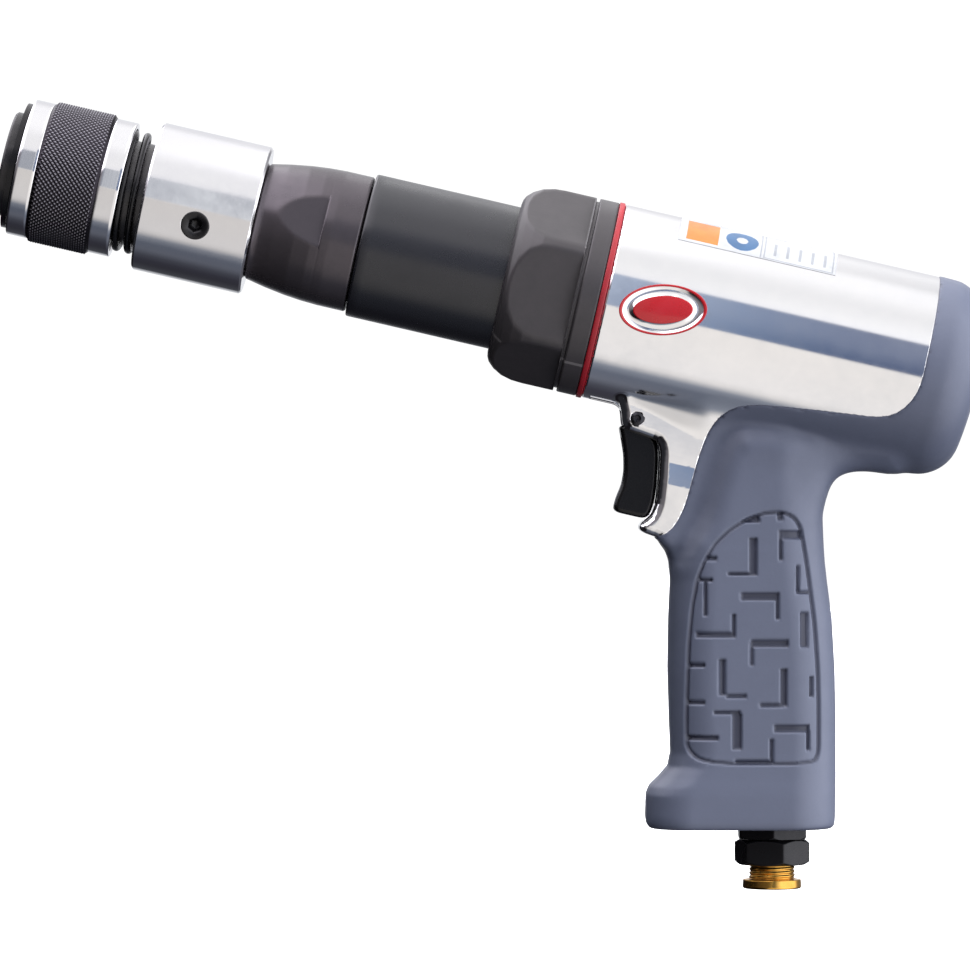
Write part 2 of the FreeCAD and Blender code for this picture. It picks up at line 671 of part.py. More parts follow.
def loft(name, sections):
    """Loft rounded rectangles stacked down the handle, in the raked frame."""
    body = new_body(name)
    sketches = []
    for number, (down, front, back, width, corner) in enumerate(sections, 1):
        sketch = new_sketch(body, f"{name}_section_{number}", "XY_Plane", lift=-down)
        rounded_rectangle(sketch, front, back, width, corner)
        sketches.append(sketch)
    blend = body.newObject("PartDesign::AdditiveLoft", name + "_blend")
    blend.Profile = sketches[0]
    blend.Sections = sketches[1:]
    blend.Ruled = True
    return rake_place(body)


def build_housing():
    """Make the aluminium housing and the rubber overmould that covers its rear and its handle."""
    outer_sections = [
        (down, ("handle_front", front), back, width, corner)
        for down, front, back, width, corner in HANDLE_SECTIONS
    ]
    inner_sections = [
        (down, ("handle_front", front + 3.0), back - 3.0, width - 3.0, corner - 3.0)
        for down, front, back, width, corner in HANDLE_SECTIONS
    ]
    inner_sections.append((177.6, ("handle_front", 3.4), 193.8, 14.5, 10.0))
    shell = revolved("housing_shell", [
        ("spigot_front", 0.0),
        ("spigot_front", "thread_radius"),
        ("gasket_rear", "thread_radius"),
        ("gasket_rear", "housing_radius"),
        ("housing_rear", "housing_radius"),
        ("housing_rear", 0.0),
    ])
    neck = padded("trigger_neck", [
        (143.5, -15.0), (147.3, -27.0), (149.5, -33.7), (158.6, -35.8), (159.7, -38.0),
        (162.2, -53.0), (160.8, -57.6), (158.7, -59.6), (158.9, -61.5), (165.5, -62.3),
        (172.0, -64.0), (180.0, -60.0), (186.0, -15.0),
    ], "neck_half_width")
    region = padded("rubber_region", [
        (226.0, 40.0), (226.0, -5.0), (223.0, -11.5), (218.5, -14.8), (200.0, -17.0),
        (183.0, -19.3), (177.0, -21.2), (173.3, -24.6), (171.0, -30.0), (170.3, -36.0),
        (169.6, -55.0), (167.5, -59.5), (164.5, -62.2), (140.0, -64.0), (140.0, -230.0),
        (320.0, -230.0), (320.0, 40.0),
    ], 60.0)
    metal = cut("metal_front", joined("shell_and_neck", [shell, neck]), [region])
    core_dome = revolved("core_dome", [
        (170.0, 0.0), (170.0, "core_radius"), (231.0, "core_radius"), (234.6, 23.6),
        (237.0, 21.0), (238.8, 16.0), (239.6, 10.0), ("core_rear", 5.0), ("core_rear", 0.0),
    ])
    core_handle = loft("core_handle", inner_sections)
    solid = joined("housing_solid", [metal, core_dome, core_handle])

    cap = revolved("cap_dome", [
        (171.0, 0.0), (171.0, "housing_radius"), (231.0, "housing_radius"), (235.0, 27.4),
        (237.2, 26.0), (239.6, 23.0), (241.2, 19.5), (242.3, 14.5), (242.9, 10.0),
        ("cap_rear", 5.0), ("cap_rear", 0.0),
    ])
    fillet = padded("heel_fillet", [
        (196.0, -24.0), (196.0, -48.0), (209.0, -44.0), (207.3, -37.0), (207.6, -34.6),
        (208.6, -32.8), (210.4, -31.4), (214.6, -29.8), (225.0, -28.1), (225.0, -24.0),
    ], 11.0)
    grip = loft("grip_outside", outer_sections)
    toe = loft("toe_outside", TOE_SECTIONS)
    outside = joined("overmould_outside", [cap, fillet, grip, toe])
    within = doc.addObject("Part::MultiCommon", "overmould_region")
    within.Shapes = [outside, region]

    tools = [
        revolved("main_bore", [
            (117.0, 0.0),
            (117.0, "housing_bore"),
            ("exhaust_front", "housing_bore"),
            ("exhaust_front", "exhaust_radius"),
            ("exhaust_rear", "exhaust_radius"),
            ("exhaust_rear", "housing_bore"),
            ("chamber_front", "housing_bore"),
            ("chamber_front", "chamber_radius"),
            ("chamber_rear", "chamber_radius"),
            ("chamber_rear", 0.0),
        ]),
        padded("trigger_slot", [
            (146.4, -26.2), (157.5, -26.2), (163.4, -36.0), (166.6, -52.0), (166.6, -58.35),
            (146.4, -58.35),
        ], "slot_half_width"),
        rod("trigger_pin_hole", "pin_radius", 40.0, (SIZES["pin_x"], -20.0, SIZES["pin_z"]), (0, 1, 0)),
        rake_place(revolved("throttle_bore_cut", [
            (145.0, 0.0), (145.0, "throttle_bore"), ("throttle_bore_end", "throttle_bore"),
            ("throttle_bore_end", 0.0),
        ]), down="throttle_down"),
        rake_place(revolved("inlet_bore_cut", [
            (-79.0, 0.0), (-79.0, "inlet_passage"), (("inlet_bore_top", 0.0, -1.0), "inlet_passage"),
            (("inlet_bore_top", 0.0, -1.0), "inlet_bore"), (-190.0, "inlet_bore"), (-190.0, 0.0),
        ], axis="V_Axis"), along="inlet_along"),
        rod("supply_passage", 3.2, 40.0, (176.08, 0, -44.74), (14.9, 0, 36.74)),
    ]
    for number, across in enumerate((-6.0, -2.0, 2.0, 6.0), 1):
        slot = doc.addObject("Part::Box", f"exhaust_slot_{number}")
        slot.Length = 8.5
        slot.Width = 2.0
        slot.Height = 12.0
        slot.Placement.Base = FreeCAD.Vector(137.0, across - 1.0, -30.0)
        tools.append(slot)
    keep(cut("housing", solid, tools))

    inlet_hole = rake_place(revolved("grip_inlet_hole", [
        (-170.0, 0.0), (-170.0, ("inlet_bore", 0.05)), (-190.0, ("inlet_bore", 0.05)), (-190.0, 0.0),
    ], axis="V_Axis"), along="inlet_along")
    keep(cut("grip_overmould", within, [solid, inlet_hole]))


def build_trigger():
    """Make the trigger and the pin that it turns on."""
    outline = [
        (147.2, -34.6), (147.9, -33.8), (147.6, -30.8), (148.7, -28.2), (151.2, -27.1),
        (153.8, -28.2), (155.2, -31.0), (156.6, -34.5), (158.4, -36.0), (159.4, -38.5),
        (160.0, -42.0), (161.0, -48.0), (161.4, -53.0), (161.0, -57.0), (160.3, -58.0),
        (151.0, -58.0), (150.6, -57.0), (151.0, -53.0), (151.0, -48.0), (150.0, -43.0),
        (148.5, -38.0),
    ]
    blank = padded("trigger_blank", outline, "trigger_half_width")
    hole = rod("trigger_hole", "pin_hole", 40.0, (SIZES["pin_x"], -20.0, SIZES["pin_z"]), (0, 1, 0))
    keep(cut("trigger", blank, [hole]))
    keep(rod("trigger_pin", "pin_radius", 24.0, (SIZES["pin_x"], -12.0, SIZES["pin_z"]), (0, 1, 0)))


def build_throttle():
    """Make the throttle valve behind the trigger, in the raked frame."""
    keep(rake_place(revolved("throttle_guide", [
        ("guide_front", ("stem_radius", 0.05)),
        ("guide_rear", ("stem_radius", 0.05)),
        ("guide_rear", "throttle_bore"),
        (("guide_rear", -2.2), "throttle_bore"),
        (("guide_rear", -2.2), ("throttle_bore", -1.6)),
        (("guide_rear", -4.2), ("throttle_bore", -1.6)),
        (("guide_rear", -4.2), "throttle_bore"),
        ("guide_front", "throttle_bore"),
    ]), down="throttle_down"))
    seal = doc.addObject("Part::Torus", "guide_o_ring")
    seal.Radius1 = SIZES["throttle_bore"] - 0.8
    seal.Radius2 = 0.78
    seal.setExpression("Radius1", "Dims.throttle_bore - 0.8")
    middle = resolve(("guide_rear", -3.2))[0]
    holder = FreeCAD.Placement(FreeCAD.Vector(), FreeCAD.Rotation(Y_AXIS, -SIZES["rake"]))
    seal.Placement = holder * FreeCAD.Placement(
        FreeCAD.Vector(middle, 0, -SIZES["throttle_down"]), FreeCAD.Rotation(Y_AXIS, 90)
    )
    keep(seal)
    keep(rake_place(revolved("throttle_seat", [
        ("seat_front", 3.8), ("seat_rear", 3.8), ("seat_rear", "throttle_bore"),
        ("seat_front", "throttle_bore"),
    ]), down="throttle_down"))
    keep(rake_place(revolved("throttle_stem", [
        ("stem_front", 0.0),
        ("stem_front", ("stem_radius", -0.5)),
        (("stem_front", 0.5), "stem_radius"),
        ("head_front", "stem_radius"),
        ("head_front", 5.6),
        ("head_rear", 5.6),
        ("head_rear", 2.4),
        (("head_rear", 2.6), 2.4),
        (("head_rear", 2.6), 0.0),
    ]), down="throttle_down"))
    keep(rake_place(
        helical("throttle_spring", "return_start", "return_coil", "return_wire", "return_pitch",
                "return_span"),
        down="throttle_down",
    ))


def build_inlet():
    """Make the air inlet below the handle, in the raked frame: screen, bushing, adapter, nipple."""
    top, base = ("bushing_top", 0.0, -1.0), ("bushing_base", 0.0, -1.0)
    screen = revolved("screen_disc", [
        (-159.8, 0.0), (-159.8, ("inlet_bore", -0.1)), (-158.8, ("inlet_bore", -0.1)), (-158.8, 0.0),
    ], axis="V_Axis")
    rake_place(screen, along="inlet_along")
    holes = []
    frame = rake_place(doc.addObject("Part::Box", "frame_probe"), along="inlet_along").Placement
    doc.removeObject("frame_probe")
    for ring, count in ((0.0, 1), (2.4, 6), (4.4, 10)):
        for number in range(count):
            angle = 2 * math.pi * number / count
            hole = rod(f"screen_hole_{count}_{number}", 0.7, 6.0, (0, 0, 0), (0, 0, 1))
            spot = FreeCAD.Vector(ring * math.cos(angle), ring * math.sin(angle), -162.0)
            hole.Placement = frame * FreeCAD.Placement(spot, FreeCAD.Rotation())
            holes.append(hole)
    keep(cut("inlet_screen", screen, holes))

    def hexagonal(name, profile, low, high, turn):
        """Turn a profile about the inlet axis and cut its widest part to a hexagon."""
        body = revolved(name, profile, axis="V_Axis")
        doc.recompute()
        flats = new_sketch(body, name + "_flats", "XY_Plane", lift=low, turn=turn)
        circle(flats, (0.0, 0.0), 20.0)
        polygon(flats, hexagon_corners("hexagon"))
        pocket = body.newObject("PartDesign::Pocket", name + "_flats_cut")
        pocket.Profile = flats
        pocket.Length = resolve(high)[0] - resolve(low)[0]
        pocket.Reversed = True
        keep(rake_place(body, along="inlet_along"))

    hexagonal("inlet_bushing", [
        (top, 5.0), (top, "inlet_bore"), (-180.6, "inlet_bore"), (-180.6, 10.9), (base, 10.9),
        (base, ("pipe_radius", 0.02)), (-171.9, ("pipe_radius", 0.02)), (-171.9, 5.0),
    ], base, -180.6, 0.0)
    hexagonal("inlet_adapter", [
        (("adapter_top", 0.0, -1.0), 4.5),
        (("adapter_top", 0.0, -1.0), "pipe_radius"),
        (("adapter_shoulder", 0.0, -1.0), "pipe_radius"),
        (("adapter_shoulder", 0.0, -1.0), 10.2),
        (("adapter_shoulder", -0.5, -1.0), 11.0),
        (("adapter_base", 0.7, -1.0), 11.0),
        (("adapter_base", 0.0, -1.0), 9.8),
        (("adapter_base", 0.0, -1.0), ("pipe_radius", 0.02)),
        (-184.9, ("pipe_radius", 0.02)),
        (-184.9, 4.5),
    ], ("adapter_base", 0.0, -1.0), ("adapter_shoulder", 0.0, -1.0), -15.0)
    keep(rake_place(revolved("hose_nipple", [
        (("nipple_top", 0.0, -1.0), "nipple_bore"),
        (("nipple_top", 0.0, -1.0), ("pipe_radius", -0.3)),
        (("adapter_base", 0.0, -1.0), "pipe_radius"),
        (("nipple_flange", 0.0, -1.0), "pipe_radius"),
        (("nipple_flange", 0.0, -1.0), 8.4),
        (("nipple_base", 0.0, -1.0), 8.4),
        (("nipple_base", 0.0, -1.0), "nipple_bore"),
    ], axis="V_Axis"), along="inlet_along"))


def build_trim():
    """Make the plain oval badge on the housing's side and the blank label on its top."""
    skin = [
        (139.5, ("housing_radius", 0.02)), (165.5, ("housing_radius", 0.02)),
        (165.5, ("housing_radius", 0.35)), (139.5, ("housing_radius", 0.35)),
    ]
    badge_skin = revolved("badge_skin", skin, angle=60.0)
    badge_skin.Placement = FreeCAD.Placement(FreeCAD.Vector(), FreeCAD.Rotation(X_AXIS, 60.0))
    oval = new_body("badge_oval")
    sketch = new_sketch(oval, "badge_oval_outline", "XZ_Plane")
    rounded_rectangle(sketch, -11.5, 11.5, 7.6, 7.0)
    pad = oval.newObject("PartDesign::Pad", "badge_oval_pad")
    pad.Profile = sketch
    pad.Length = 80.0
    pad.Midplane = True
    oval.Placement = FreeCAD.Placement(FreeCAD.Vector(152.0, 0, 1.5), FreeCAD.Rotation(Y_AXIS, -6.0))
    badge = doc.addObject("Part::Common", "side_badge")
    badge.Base = badge_skin
    badge.Tool = oval
    keep(badge)
    label = revolved("top_label", [
        (153.8, ("housing_radius", 0.02)), (198.2, ("housing_radius", 0.02)),
        (198.2, ("housing_radius", 0.2)), (153.8, ("housing_radius", 0.2)),
    ], angle=42.0)
    label.Placement = FreeCAD.Placement(FreeCAD.Vector(), FreeCAD.Rotation(X_AXIS, 0.0))
    keep(label)


def check_and_export():
    """Stop on any failed feature or bad shape, then write one file for each sub-part."""
    doc.recompute()
    for item in doc.Objects:
        if any(state in ("Invalid", "Error") for state in item.State):
            raise RuntimeError(f"{item.Label} failed: {item.State}")
    for label, node in nodes.items():
        shape = node.Shape
        if shape.isNull() or not shape.isValid() or not shape.Solids:
            raise RuntimeError(f"{label} has no valid solid")
    os.makedirs("parts", exist_ok=True)
    for label, node in nodes.items():
        node.Shape.exportStep(os.path.join("parts", label + ".step"))
        box = node.Shape.BoundBox
        print(f"{label}: {len(node.Shape.Solids)} solid, {node.Shape.Volume:.1f} mm3, "
              f"x {box.XMin:.1f}..{box.XMax:.1f}, z {box.ZMin:.1f}..{box.ZMax:.1f}")


fill_sheet()
build_retainer()
build_lock_collar()
build_barrel()
build_nut()
build_valve()
build_housing()
build_trigger()
build_throttle()
build_inlet()
build_trim()
check_and_export()
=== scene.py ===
"""Long-barrel air hammer: finished surfaces, finishes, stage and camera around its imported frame.

Everything is worked out in millimetres and put into the meshes in metres. +X runs from the muzzle to
the rear cap along the barrel axis and +Z is up. "Along" and "down" are measured in the handle's own
raked frame: along is across the handle towards its back, down is along the handle towards its base.
"""

import json
import logging
import math
from contextlib import contextmanager
from dataclasses import dataclass
from enum import Enum
from typing import Callable, Iterator, Optional, Sequence

import bmesh
import bpy
import numpy as np
from mathutils import Matrix


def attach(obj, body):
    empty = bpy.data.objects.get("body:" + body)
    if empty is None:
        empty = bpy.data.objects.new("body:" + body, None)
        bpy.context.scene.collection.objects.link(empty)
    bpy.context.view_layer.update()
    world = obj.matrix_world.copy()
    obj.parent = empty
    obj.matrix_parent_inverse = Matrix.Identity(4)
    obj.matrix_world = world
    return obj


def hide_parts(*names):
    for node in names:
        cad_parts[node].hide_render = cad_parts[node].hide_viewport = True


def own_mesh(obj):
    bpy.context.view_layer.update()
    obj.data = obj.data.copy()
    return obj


logging.basicConfig(level=logging.INFO, format="%(message)s")
LOG = logging.getLogger("air_hammer")

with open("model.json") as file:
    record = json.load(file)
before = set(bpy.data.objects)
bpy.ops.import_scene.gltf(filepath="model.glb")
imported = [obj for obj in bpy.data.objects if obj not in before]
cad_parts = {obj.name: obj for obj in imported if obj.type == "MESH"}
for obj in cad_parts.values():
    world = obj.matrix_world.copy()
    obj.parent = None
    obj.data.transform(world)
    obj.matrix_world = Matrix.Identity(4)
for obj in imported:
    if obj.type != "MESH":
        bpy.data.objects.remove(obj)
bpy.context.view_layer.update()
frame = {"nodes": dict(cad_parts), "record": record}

Field = Callable[[np.ndarray, np.ndarray, np.ndarray], np.ndarray]
Socket = bpy.types.NodeSocket
MM = 0.001
RAKE = math.radians(13.0)
COS, SIN = math.cos(RAKE), math.sin(RAKE)
FULL_TURN = 2 * math.pi
THIRD = math.pi / 3
AXES = np.eye(3)
BORE_RADIUS = 16.65
PIN_X, PIN_Z, PIN_BORE = 151.2, -30.8, 1.85
THROTTLE_DOWN = 83.2
INLET_ALONG = 179.2


# ---------------------------------------------------------------- curves and fields


def swap(a: np.ndarray, b: np.ndarray) -> tuple[np.ndarray, np.ndarray]:
    """Turn x and z into along and down, or back: (a cos + b sin, a sin - b cos) undoes itself."""
    return a * COS + b * SIN, a * SIN - b * COS


def to_row(along: np.ndarray, across: np.ndarray, down: np.ndarray) -> np.ndarray:
    """Turn raked places into row places.

    Args:
        along: distance across the handle, towards its back.
        across: distance to the side, which is row y.
        down: distance along the handle, towards its base.

    Returns:
        The places, one row of x, y, z each.
    """
    x, z = swap(along, down)
    return np.stack(np.broadcast_arrays(x, across, z), -1)


def rounded(corners: Sequence[Sequence[float]], radius: float, steps: int = 4) -> np.ndarray:
    """Round a closed outline: each corner becomes a parabola between two points on its edges.

    Args:
        corners: the outline's corners in order.
        radius: how far from each corner the curve starts, at most 0.45 of either edge.
        steps: points along each curve.

    Returns:
        The rounded outline's points, one row each.
    """
    here = np.array(corners, float)
    before, after = np.roll(here, 1, 0), np.roll(here, -1, 0)
    back = np.linalg.norm(before - here, axis=1, keepdims=True)
    on = np.linalg.norm(after - here, axis=1, keepdims=True)
    start = here + (before - here) / back * np.minimum(radius, 0.45 * back)
    end = here + (after - here) / on * np.minimum(radius, 0.45 * on)
    s = np.linspace(0.0, 1.0, steps)[None, :, None]
    curve = (1 - s) ** 2 * start[:, None] + 2 * s * (1 - s) * here[:, None] + s**2 * end[:, None]
    return curve.reshape(-1, 2)


def finer(outline: np.ndarray, step: float) -> np.ndarray:
    """Divide a closed outline's edges evenly into pieces no longer than the step.

    Args:
        outline: the outline's points, one row each.
        step: longest edge wanted.

    Returns:
        The outline with the extra points.
    """
    edge = np.roll(outline, -1, 0) - outline
    count = np.maximum(1, np.ceil(np.linalg.norm(edge, axis=1) / step).astype(int))
    owner = np.repeat(np.arange(len(outline)), count)
    place = np.arange(len(owner)) - np.repeat(np.cumsum(count) - count, count)
    return outline[owner] + edge[owner] * (place / count[owner])[:, None]


def smoothstep(value: np.ndarray, low: float, high: float) -> np.ndarray:
    """Rise from 0 at low to 1 at high as 3t^2 - 2t^3."""
    t = np.clip((value - low) / (high - low), 0.0, 1.0)
    return t * t * (3 - 2 * t)


def join(a: np.ndarray, b: np.ndarray, blend: float | np.ndarray) -> np.ndarray:
    """Join two fields: the smaller one, less h^2 blend / 4 where they differ by under the blend."""
    h = np.maximum(blend - np.abs(a - b), 0.0) / blend
    return np.minimum(a, b) - h * h * blend / 4


def keep_both(a: np.ndarray, b: np.ndarray, blend: float) -> np.ndarray:
    """Keep what is inside both fields, with the edge between them rounded by the blend."""
    return -join(-a, -b, blend)


def tray(a: np.ndarray, b: np.ndarray, radius: float) -> np.ndarray:
    """Distance to the corner region inside both a and b, its edge rounded to the radius.

    Args:
        a: first distance, negative inside.
        b: second distance, negative inside.
        radius: radius of the rounded edge.

    Returns:
        hypot(max(a + radius, 0), max(b + radius, 0)) + min(max(a + radius, b + radius), 0) - radius.
    """
    a, b = a + radius, b + radius
    return np.hypot(np.maximum(a, 0), np.maximum(b, 0)) + np.minimum(np.maximum(a, b), 0) - radius


def from_flat(angle: np.ndarray) -> np.ndarray:
    """Give the angle from the nearest of a hexagon's six flats."""
    return (angle + THIRD / 2) % THIRD - THIRD / 2


def saw(value: np.ndarray) -> np.ndarray:
    """Give a triangle wave: 0 at whole numbers and 1 halfway between them."""
    return 1 - np.abs(2 * (value - np.floor(value)) - 1)


def outline_distance(u: np.ndarray, v: np.ndarray, outline: np.ndarray) -> np.ndarray:
    """Signed distance to a closed outline: the nearest edge's, negative where the edges wind round.

    Args:
        u: first coordinate of the places.
        v: second coordinate of the places.
        outline: the outline's points, one row each.

    Returns:
        The distance at each place.
    """
    u, v = np.broadcast_arrays(u, v)
    nearest = np.full(u.shape, np.inf)
    inside = np.zeros(u.shape, bool)
    for (au, av), (bu, bv) in zip(outline, np.roll(outline, -1, 0)):
        eu, ev = bu - au, bv - av
        t = np.clip(((u - au) * eu + (v - av) * ev) / (eu * eu + ev * ev + 1e-12), 0, 1)
        nearest = np.minimum(nearest, (u - au - t * eu) ** 2 + (v - av - t * ev) ** 2)
        crosses = (av > v) != (bv > v)
        inside ^= crosses & (u < (v - av) * eu / (ev if abs(ev) > 1e-12 else 1e-12) + au)
    return np.where(inside, -1.0, 1.0) * np.sqrt(nearest)


def settle(field: Field, points: np.ndarray, steps: int = 3) -> tuple[np.ndarray, np.ndarray]:
    """Move points onto a field's zero level: p - f g / |g|^2, with g from central differences.

    Args:
        field: the field, negative inside.
        points: the places, one row each.
        steps: how many times they move.

    Returns:
        The settled places and the field's unit slope there, which is the outward normal.
    """
    reach = 0.02
    for turn in range(steps + 1):
        slope = np.stack([
            field(*(points + reach * axis).T) - field(*(points - reach * axis).T)
            for axis in AXES
        ], 1) / (2 * reach)
        size = np.maximum((slope**2).sum(1, keepdims=True), 0.05)
        if turn < steps:
            points = points - np.clip(field(*points.T)[:, None] / size, -0.4, 0.4) * slope
    return points, slope / np.sqrt(size)


def level_surface(
    field: Field, low: Sequence[float], high: Sequence[float], step: float
) -> tuple[np.ndarray, np.ndarray]:
    """Wrap a field's zero level in quads.

    The field is sampled on a grid. Each grid cell that the level crosses gets one point, the mean of
    the crossings of its twelve edges, and each grid edge that it crosses gets one quad between the
    four cells round that edge. The points are then settled onto the level.

    Args:
        field: the field, negative inside.
        low: lowest corner of the grid.
        high: highest corner of the grid.
        step: grid spacing.

    Returns:
        The points and the quads as rows of four indices.
    """
    axes = [np.arange(a, b + step, step) for a, b in zip(low, high)]
    values = field(axes[0][:, None, None], axes[1][None, :, None], axes[2][None, None, :])
    inside = values < 0
    corners = np.array([(i, j, k) for i in (0, 1) for j in (0, 1) for k in (0, 1)])
    cut = [slice(None, -1), slice(1, None)]
    unit = AXES.astype(int)
    count = sum(inside[cut[i], cut[j], cut[k]].astype(np.int8) for i, j, k in corners)
    active = (count > 0) & (count < 8)
    cells = np.argwhere(active)
    number = np.full(active.shape, -1, np.int64)
    number[active] = np.arange(len(cells))
    total, hits = np.zeros((len(cells), 3)), np.zeros(len(cells))
    for a in corners:
        for axis in np.flatnonzero(a == 0):
            b = a + unit[axis]
            va, vb = values[tuple((cells + a).T)], values[tuple((cells + b).T)]
            crossed = (va < 0) != (vb < 0)
            t = va[crossed] / (va[crossed] - vb[crossed])
            total[crossed] += a + t[:, None] * (b - a)
            hits += crossed
    points = np.array([a[0] for a in axes]) + (cells + total / hits[:, None]) * step
    quads = []
    for axis in range(3):
        du, dv = unit[(axis + 1) % 3], unit[(axis + 2) % 3]
        first, second = [slice(1, -1)] * 3, [slice(1, -1)] * 3
        first[axis], second[axis] = cut
        here, there = inside[tuple(first)], inside[tuple(second)]
        for flip, mask in ((False, here & ~there), (True, ~here & there)):
            at = np.argwhere(mask) + 1
            at[:, axis] -= 1
            ring = [number[tuple((at - shift).T)] for shift in (du * 0, du, du + dv, dv)]
            quads.append(np.stack(ring[::-1] if flip else ring, 1))
    return settle(field, points)[0], np.concatenate(quads)


def grid_quads(rows: int, columns: int, wrap_rows: bool, wrap_columns: bool) -> np.ndarray:
    """Quads of a grid of points, with its last row or column joined to the first if wrapped."""
    i = np.arange(rows if wrap_rows else rows - 1)[:, None]
    j = np.arange(columns if wrap_columns else columns - 1)[None, :]
    i2, j2 = (i + 1) % rows, (j + 1) % columns
    return np.stack(
        np.broadcast_arrays(i * columns + j, i * columns + j2, i2 * columns + j2, i2 * columns + j), -1
    ).reshape(-1, 4)


def round_angles(count: int) -> np.ndarray:
    """Give evenly spaced angles round a full turn."""
    return np.arange(count) * (FULL_TURN / count)


def turned(
    outline: np.ndarray, segments: int, shape: Optional[Field] = None
) -> tuple[np.ndarray, np.ndarray]:
    """Turn a closed profile about its axis: point = (x, r cos a, r sin a), r changed by the shape.

    Args:
        outline: the profile's (axial, radial) points, closed.
        segments: points round the axis.
        shape: gives the radius from (axial, radial, angle), each one a grid.

    Returns:
        The points and the quads.
    """
    angle = round_angles(segments)
    axial, radial, a = np.broadcast_arrays(outline[:, :1], outline[:, 1:], angle[None, :])
    radial = shape(axial, radial, a) if shape else radial
    points = np.stack([axial, radial * np.cos(a), radial * np.sin(a)], -1).reshape(-1, 3)
    return points, grid_quads(len(outline), segments, True, True)


def coil_points(
    start: float, span: float, pitch: float, coil: float, wire: float
) -> tuple[np.ndarray, np.ndarray]:
    """Wind a wire: centre = (start + s span, coil cos w, coil sin w), with a round section about it.

    The section's own angle b gives centre + wire (cos b outward + sin b along the helix's binormal).
    Its two end rings close to a point each.

    Args:
        start: axial place of the first coil's centre.
        span: axial distance from the first to the last coil's centre.
        pitch: axial distance from one coil to the next.
        coil: radius of the coil's centre line.
        wire: radius of the wire.

    Returns:
        The points and the quads, with x as the coil's axis.
    """
    per_coil, round_wire = 64, 14
    s = np.linspace(0.0, 1.0, int(span / pitch * per_coil) + 1)
    s, size = np.concatenate([s[:1], s, s[-1:]]), np.full(len(s) + 2, wire)
    size[[0, -1]] = 0.0
    w, b = s * span / pitch * 2 * math.pi, round_angles(round_wire)
    out = np.stack([0 * w, np.cos(w), np.sin(w)], -1)
    path = np.stack([0 * w + pitch / (FULL_TURN * coil), -np.sin(w), np.cos(w)], -1)
    path /= np.linalg.norm(path, axis=1, keepdims=True)
    binormal = np.cross(path, out)
    centre = out * coil + np.stack([start + s * span, 0 * s, 0 * s], -1)
    ring = np.cos(b)[None, :, None] * out[:, None] + np.sin(b)[None, :, None] * binormal[:, None]
    points = centre[:, None] + size[:, None, None] * ring
    return points.reshape(-1, 3), grid_quads(len(s), round_wire, False, True)


# ---------------------------------------------------------------- finishes


class Grain(Enum):
    """How a surface's fine relief runs."""

    TURNED = "turned"
    CAST = "cast"
    DRAWN = "drawn"


def srgb(red: float, green: float, blue: float) -> tuple[float, float, float, float]:
    """Turn a colour given as 0 to 255 into the linear colour that a shader takes."""
    part = [c / 255.0 for c in (red, green, blue)]
    part = [c / 12.92 if c <= 0.04045 else ((c + 0.055) / 1.055) ** 2.4 for c in part]
    return part[0], part[1], part[2], 1.0


class Wiring:
    """A node tree with short ways to add and join nodes."""

    def __init__(self, tree: bpy.types.NodeTree) -> None:
        """Take the tree to be wired."""
        self.tree = tree

    def add(self, kind: str, values: Optional[dict] = None, **settings: object) -> bpy.types.Node:
        """Add a node.

        Args:
            kind: the node's type after "ShaderNode".
            values: input name or index to a constant, or to a socket to be joined to it.
            settings: properties of the node.

        Returns:
            The node.
        """
        node = self.tree.nodes.new("ShaderNode" + kind)
        for name, value in settings.items():
            setattr(node, name, value)
        for name, value in (values or {}).items():
            if isinstance(value, bpy.types.NodeSocket):
                self.tree.links.new(value, node.inputs[name])
            else:
                node.inputs[name].default_value = value
        return node

    def maths(self, operation: str, a: object, b: object = 0.0, c: object = 0.0) -> Socket:
        """Add a Math node and give its result."""
        return self.add("Math", {0: a, 1: b, 2: c}, operation=operation).outputs[0]

    def times(self, a: object, b: object) -> Socket:
        """Give a b."""
        return self.maths("MULTIPLY", a, b)

    def fused(self, a: object, b: object, c: object) -> Socket:
        """Give a b + c."""
        return self.maths("MULTIPLY_ADD", a, b, c)

    def mix(self, factor: object, a: object, b: object) -> Socket:
        """Give the colour a where the factor is 0 and b where it is 1."""
        return self.add("Mix", {"Factor": factor, "A": a, "B": b}, data_type="RGBA").outputs["Result"]

    def noise(self, place: Socket, scale: object, detail: float, rough: float = 0.5) -> Socket:
        """Give noise at the place."""
        return self.add("TexNoise", {
            "Vector": place, "Scale": scale, "Detail": detail, "Roughness": rough,
        }).outputs[0]

    def spread(self, value: Socket, low: object, high: object, **settings: object) -> Socket:
        """Give the value's share of the way from low to high, kept to 0 to 1."""
        return self.add("MapRange", {"Value": value, "From Min": low, "From Max": high},
                        **settings).outputs[0]

    def rise(self, value: Socket, low: float, high: float) -> Socket:
        """Give the same share with soft ends."""
        return self.spread(value, low, high, interpolation_type="SMOOTHSTEP")

    def group(self, tree: bpy.types.NodeTree, **values: float) -> Socket:
        """Add a shared group and give its result."""
        return self.add("Group", values, node_tree=tree).outputs[0]


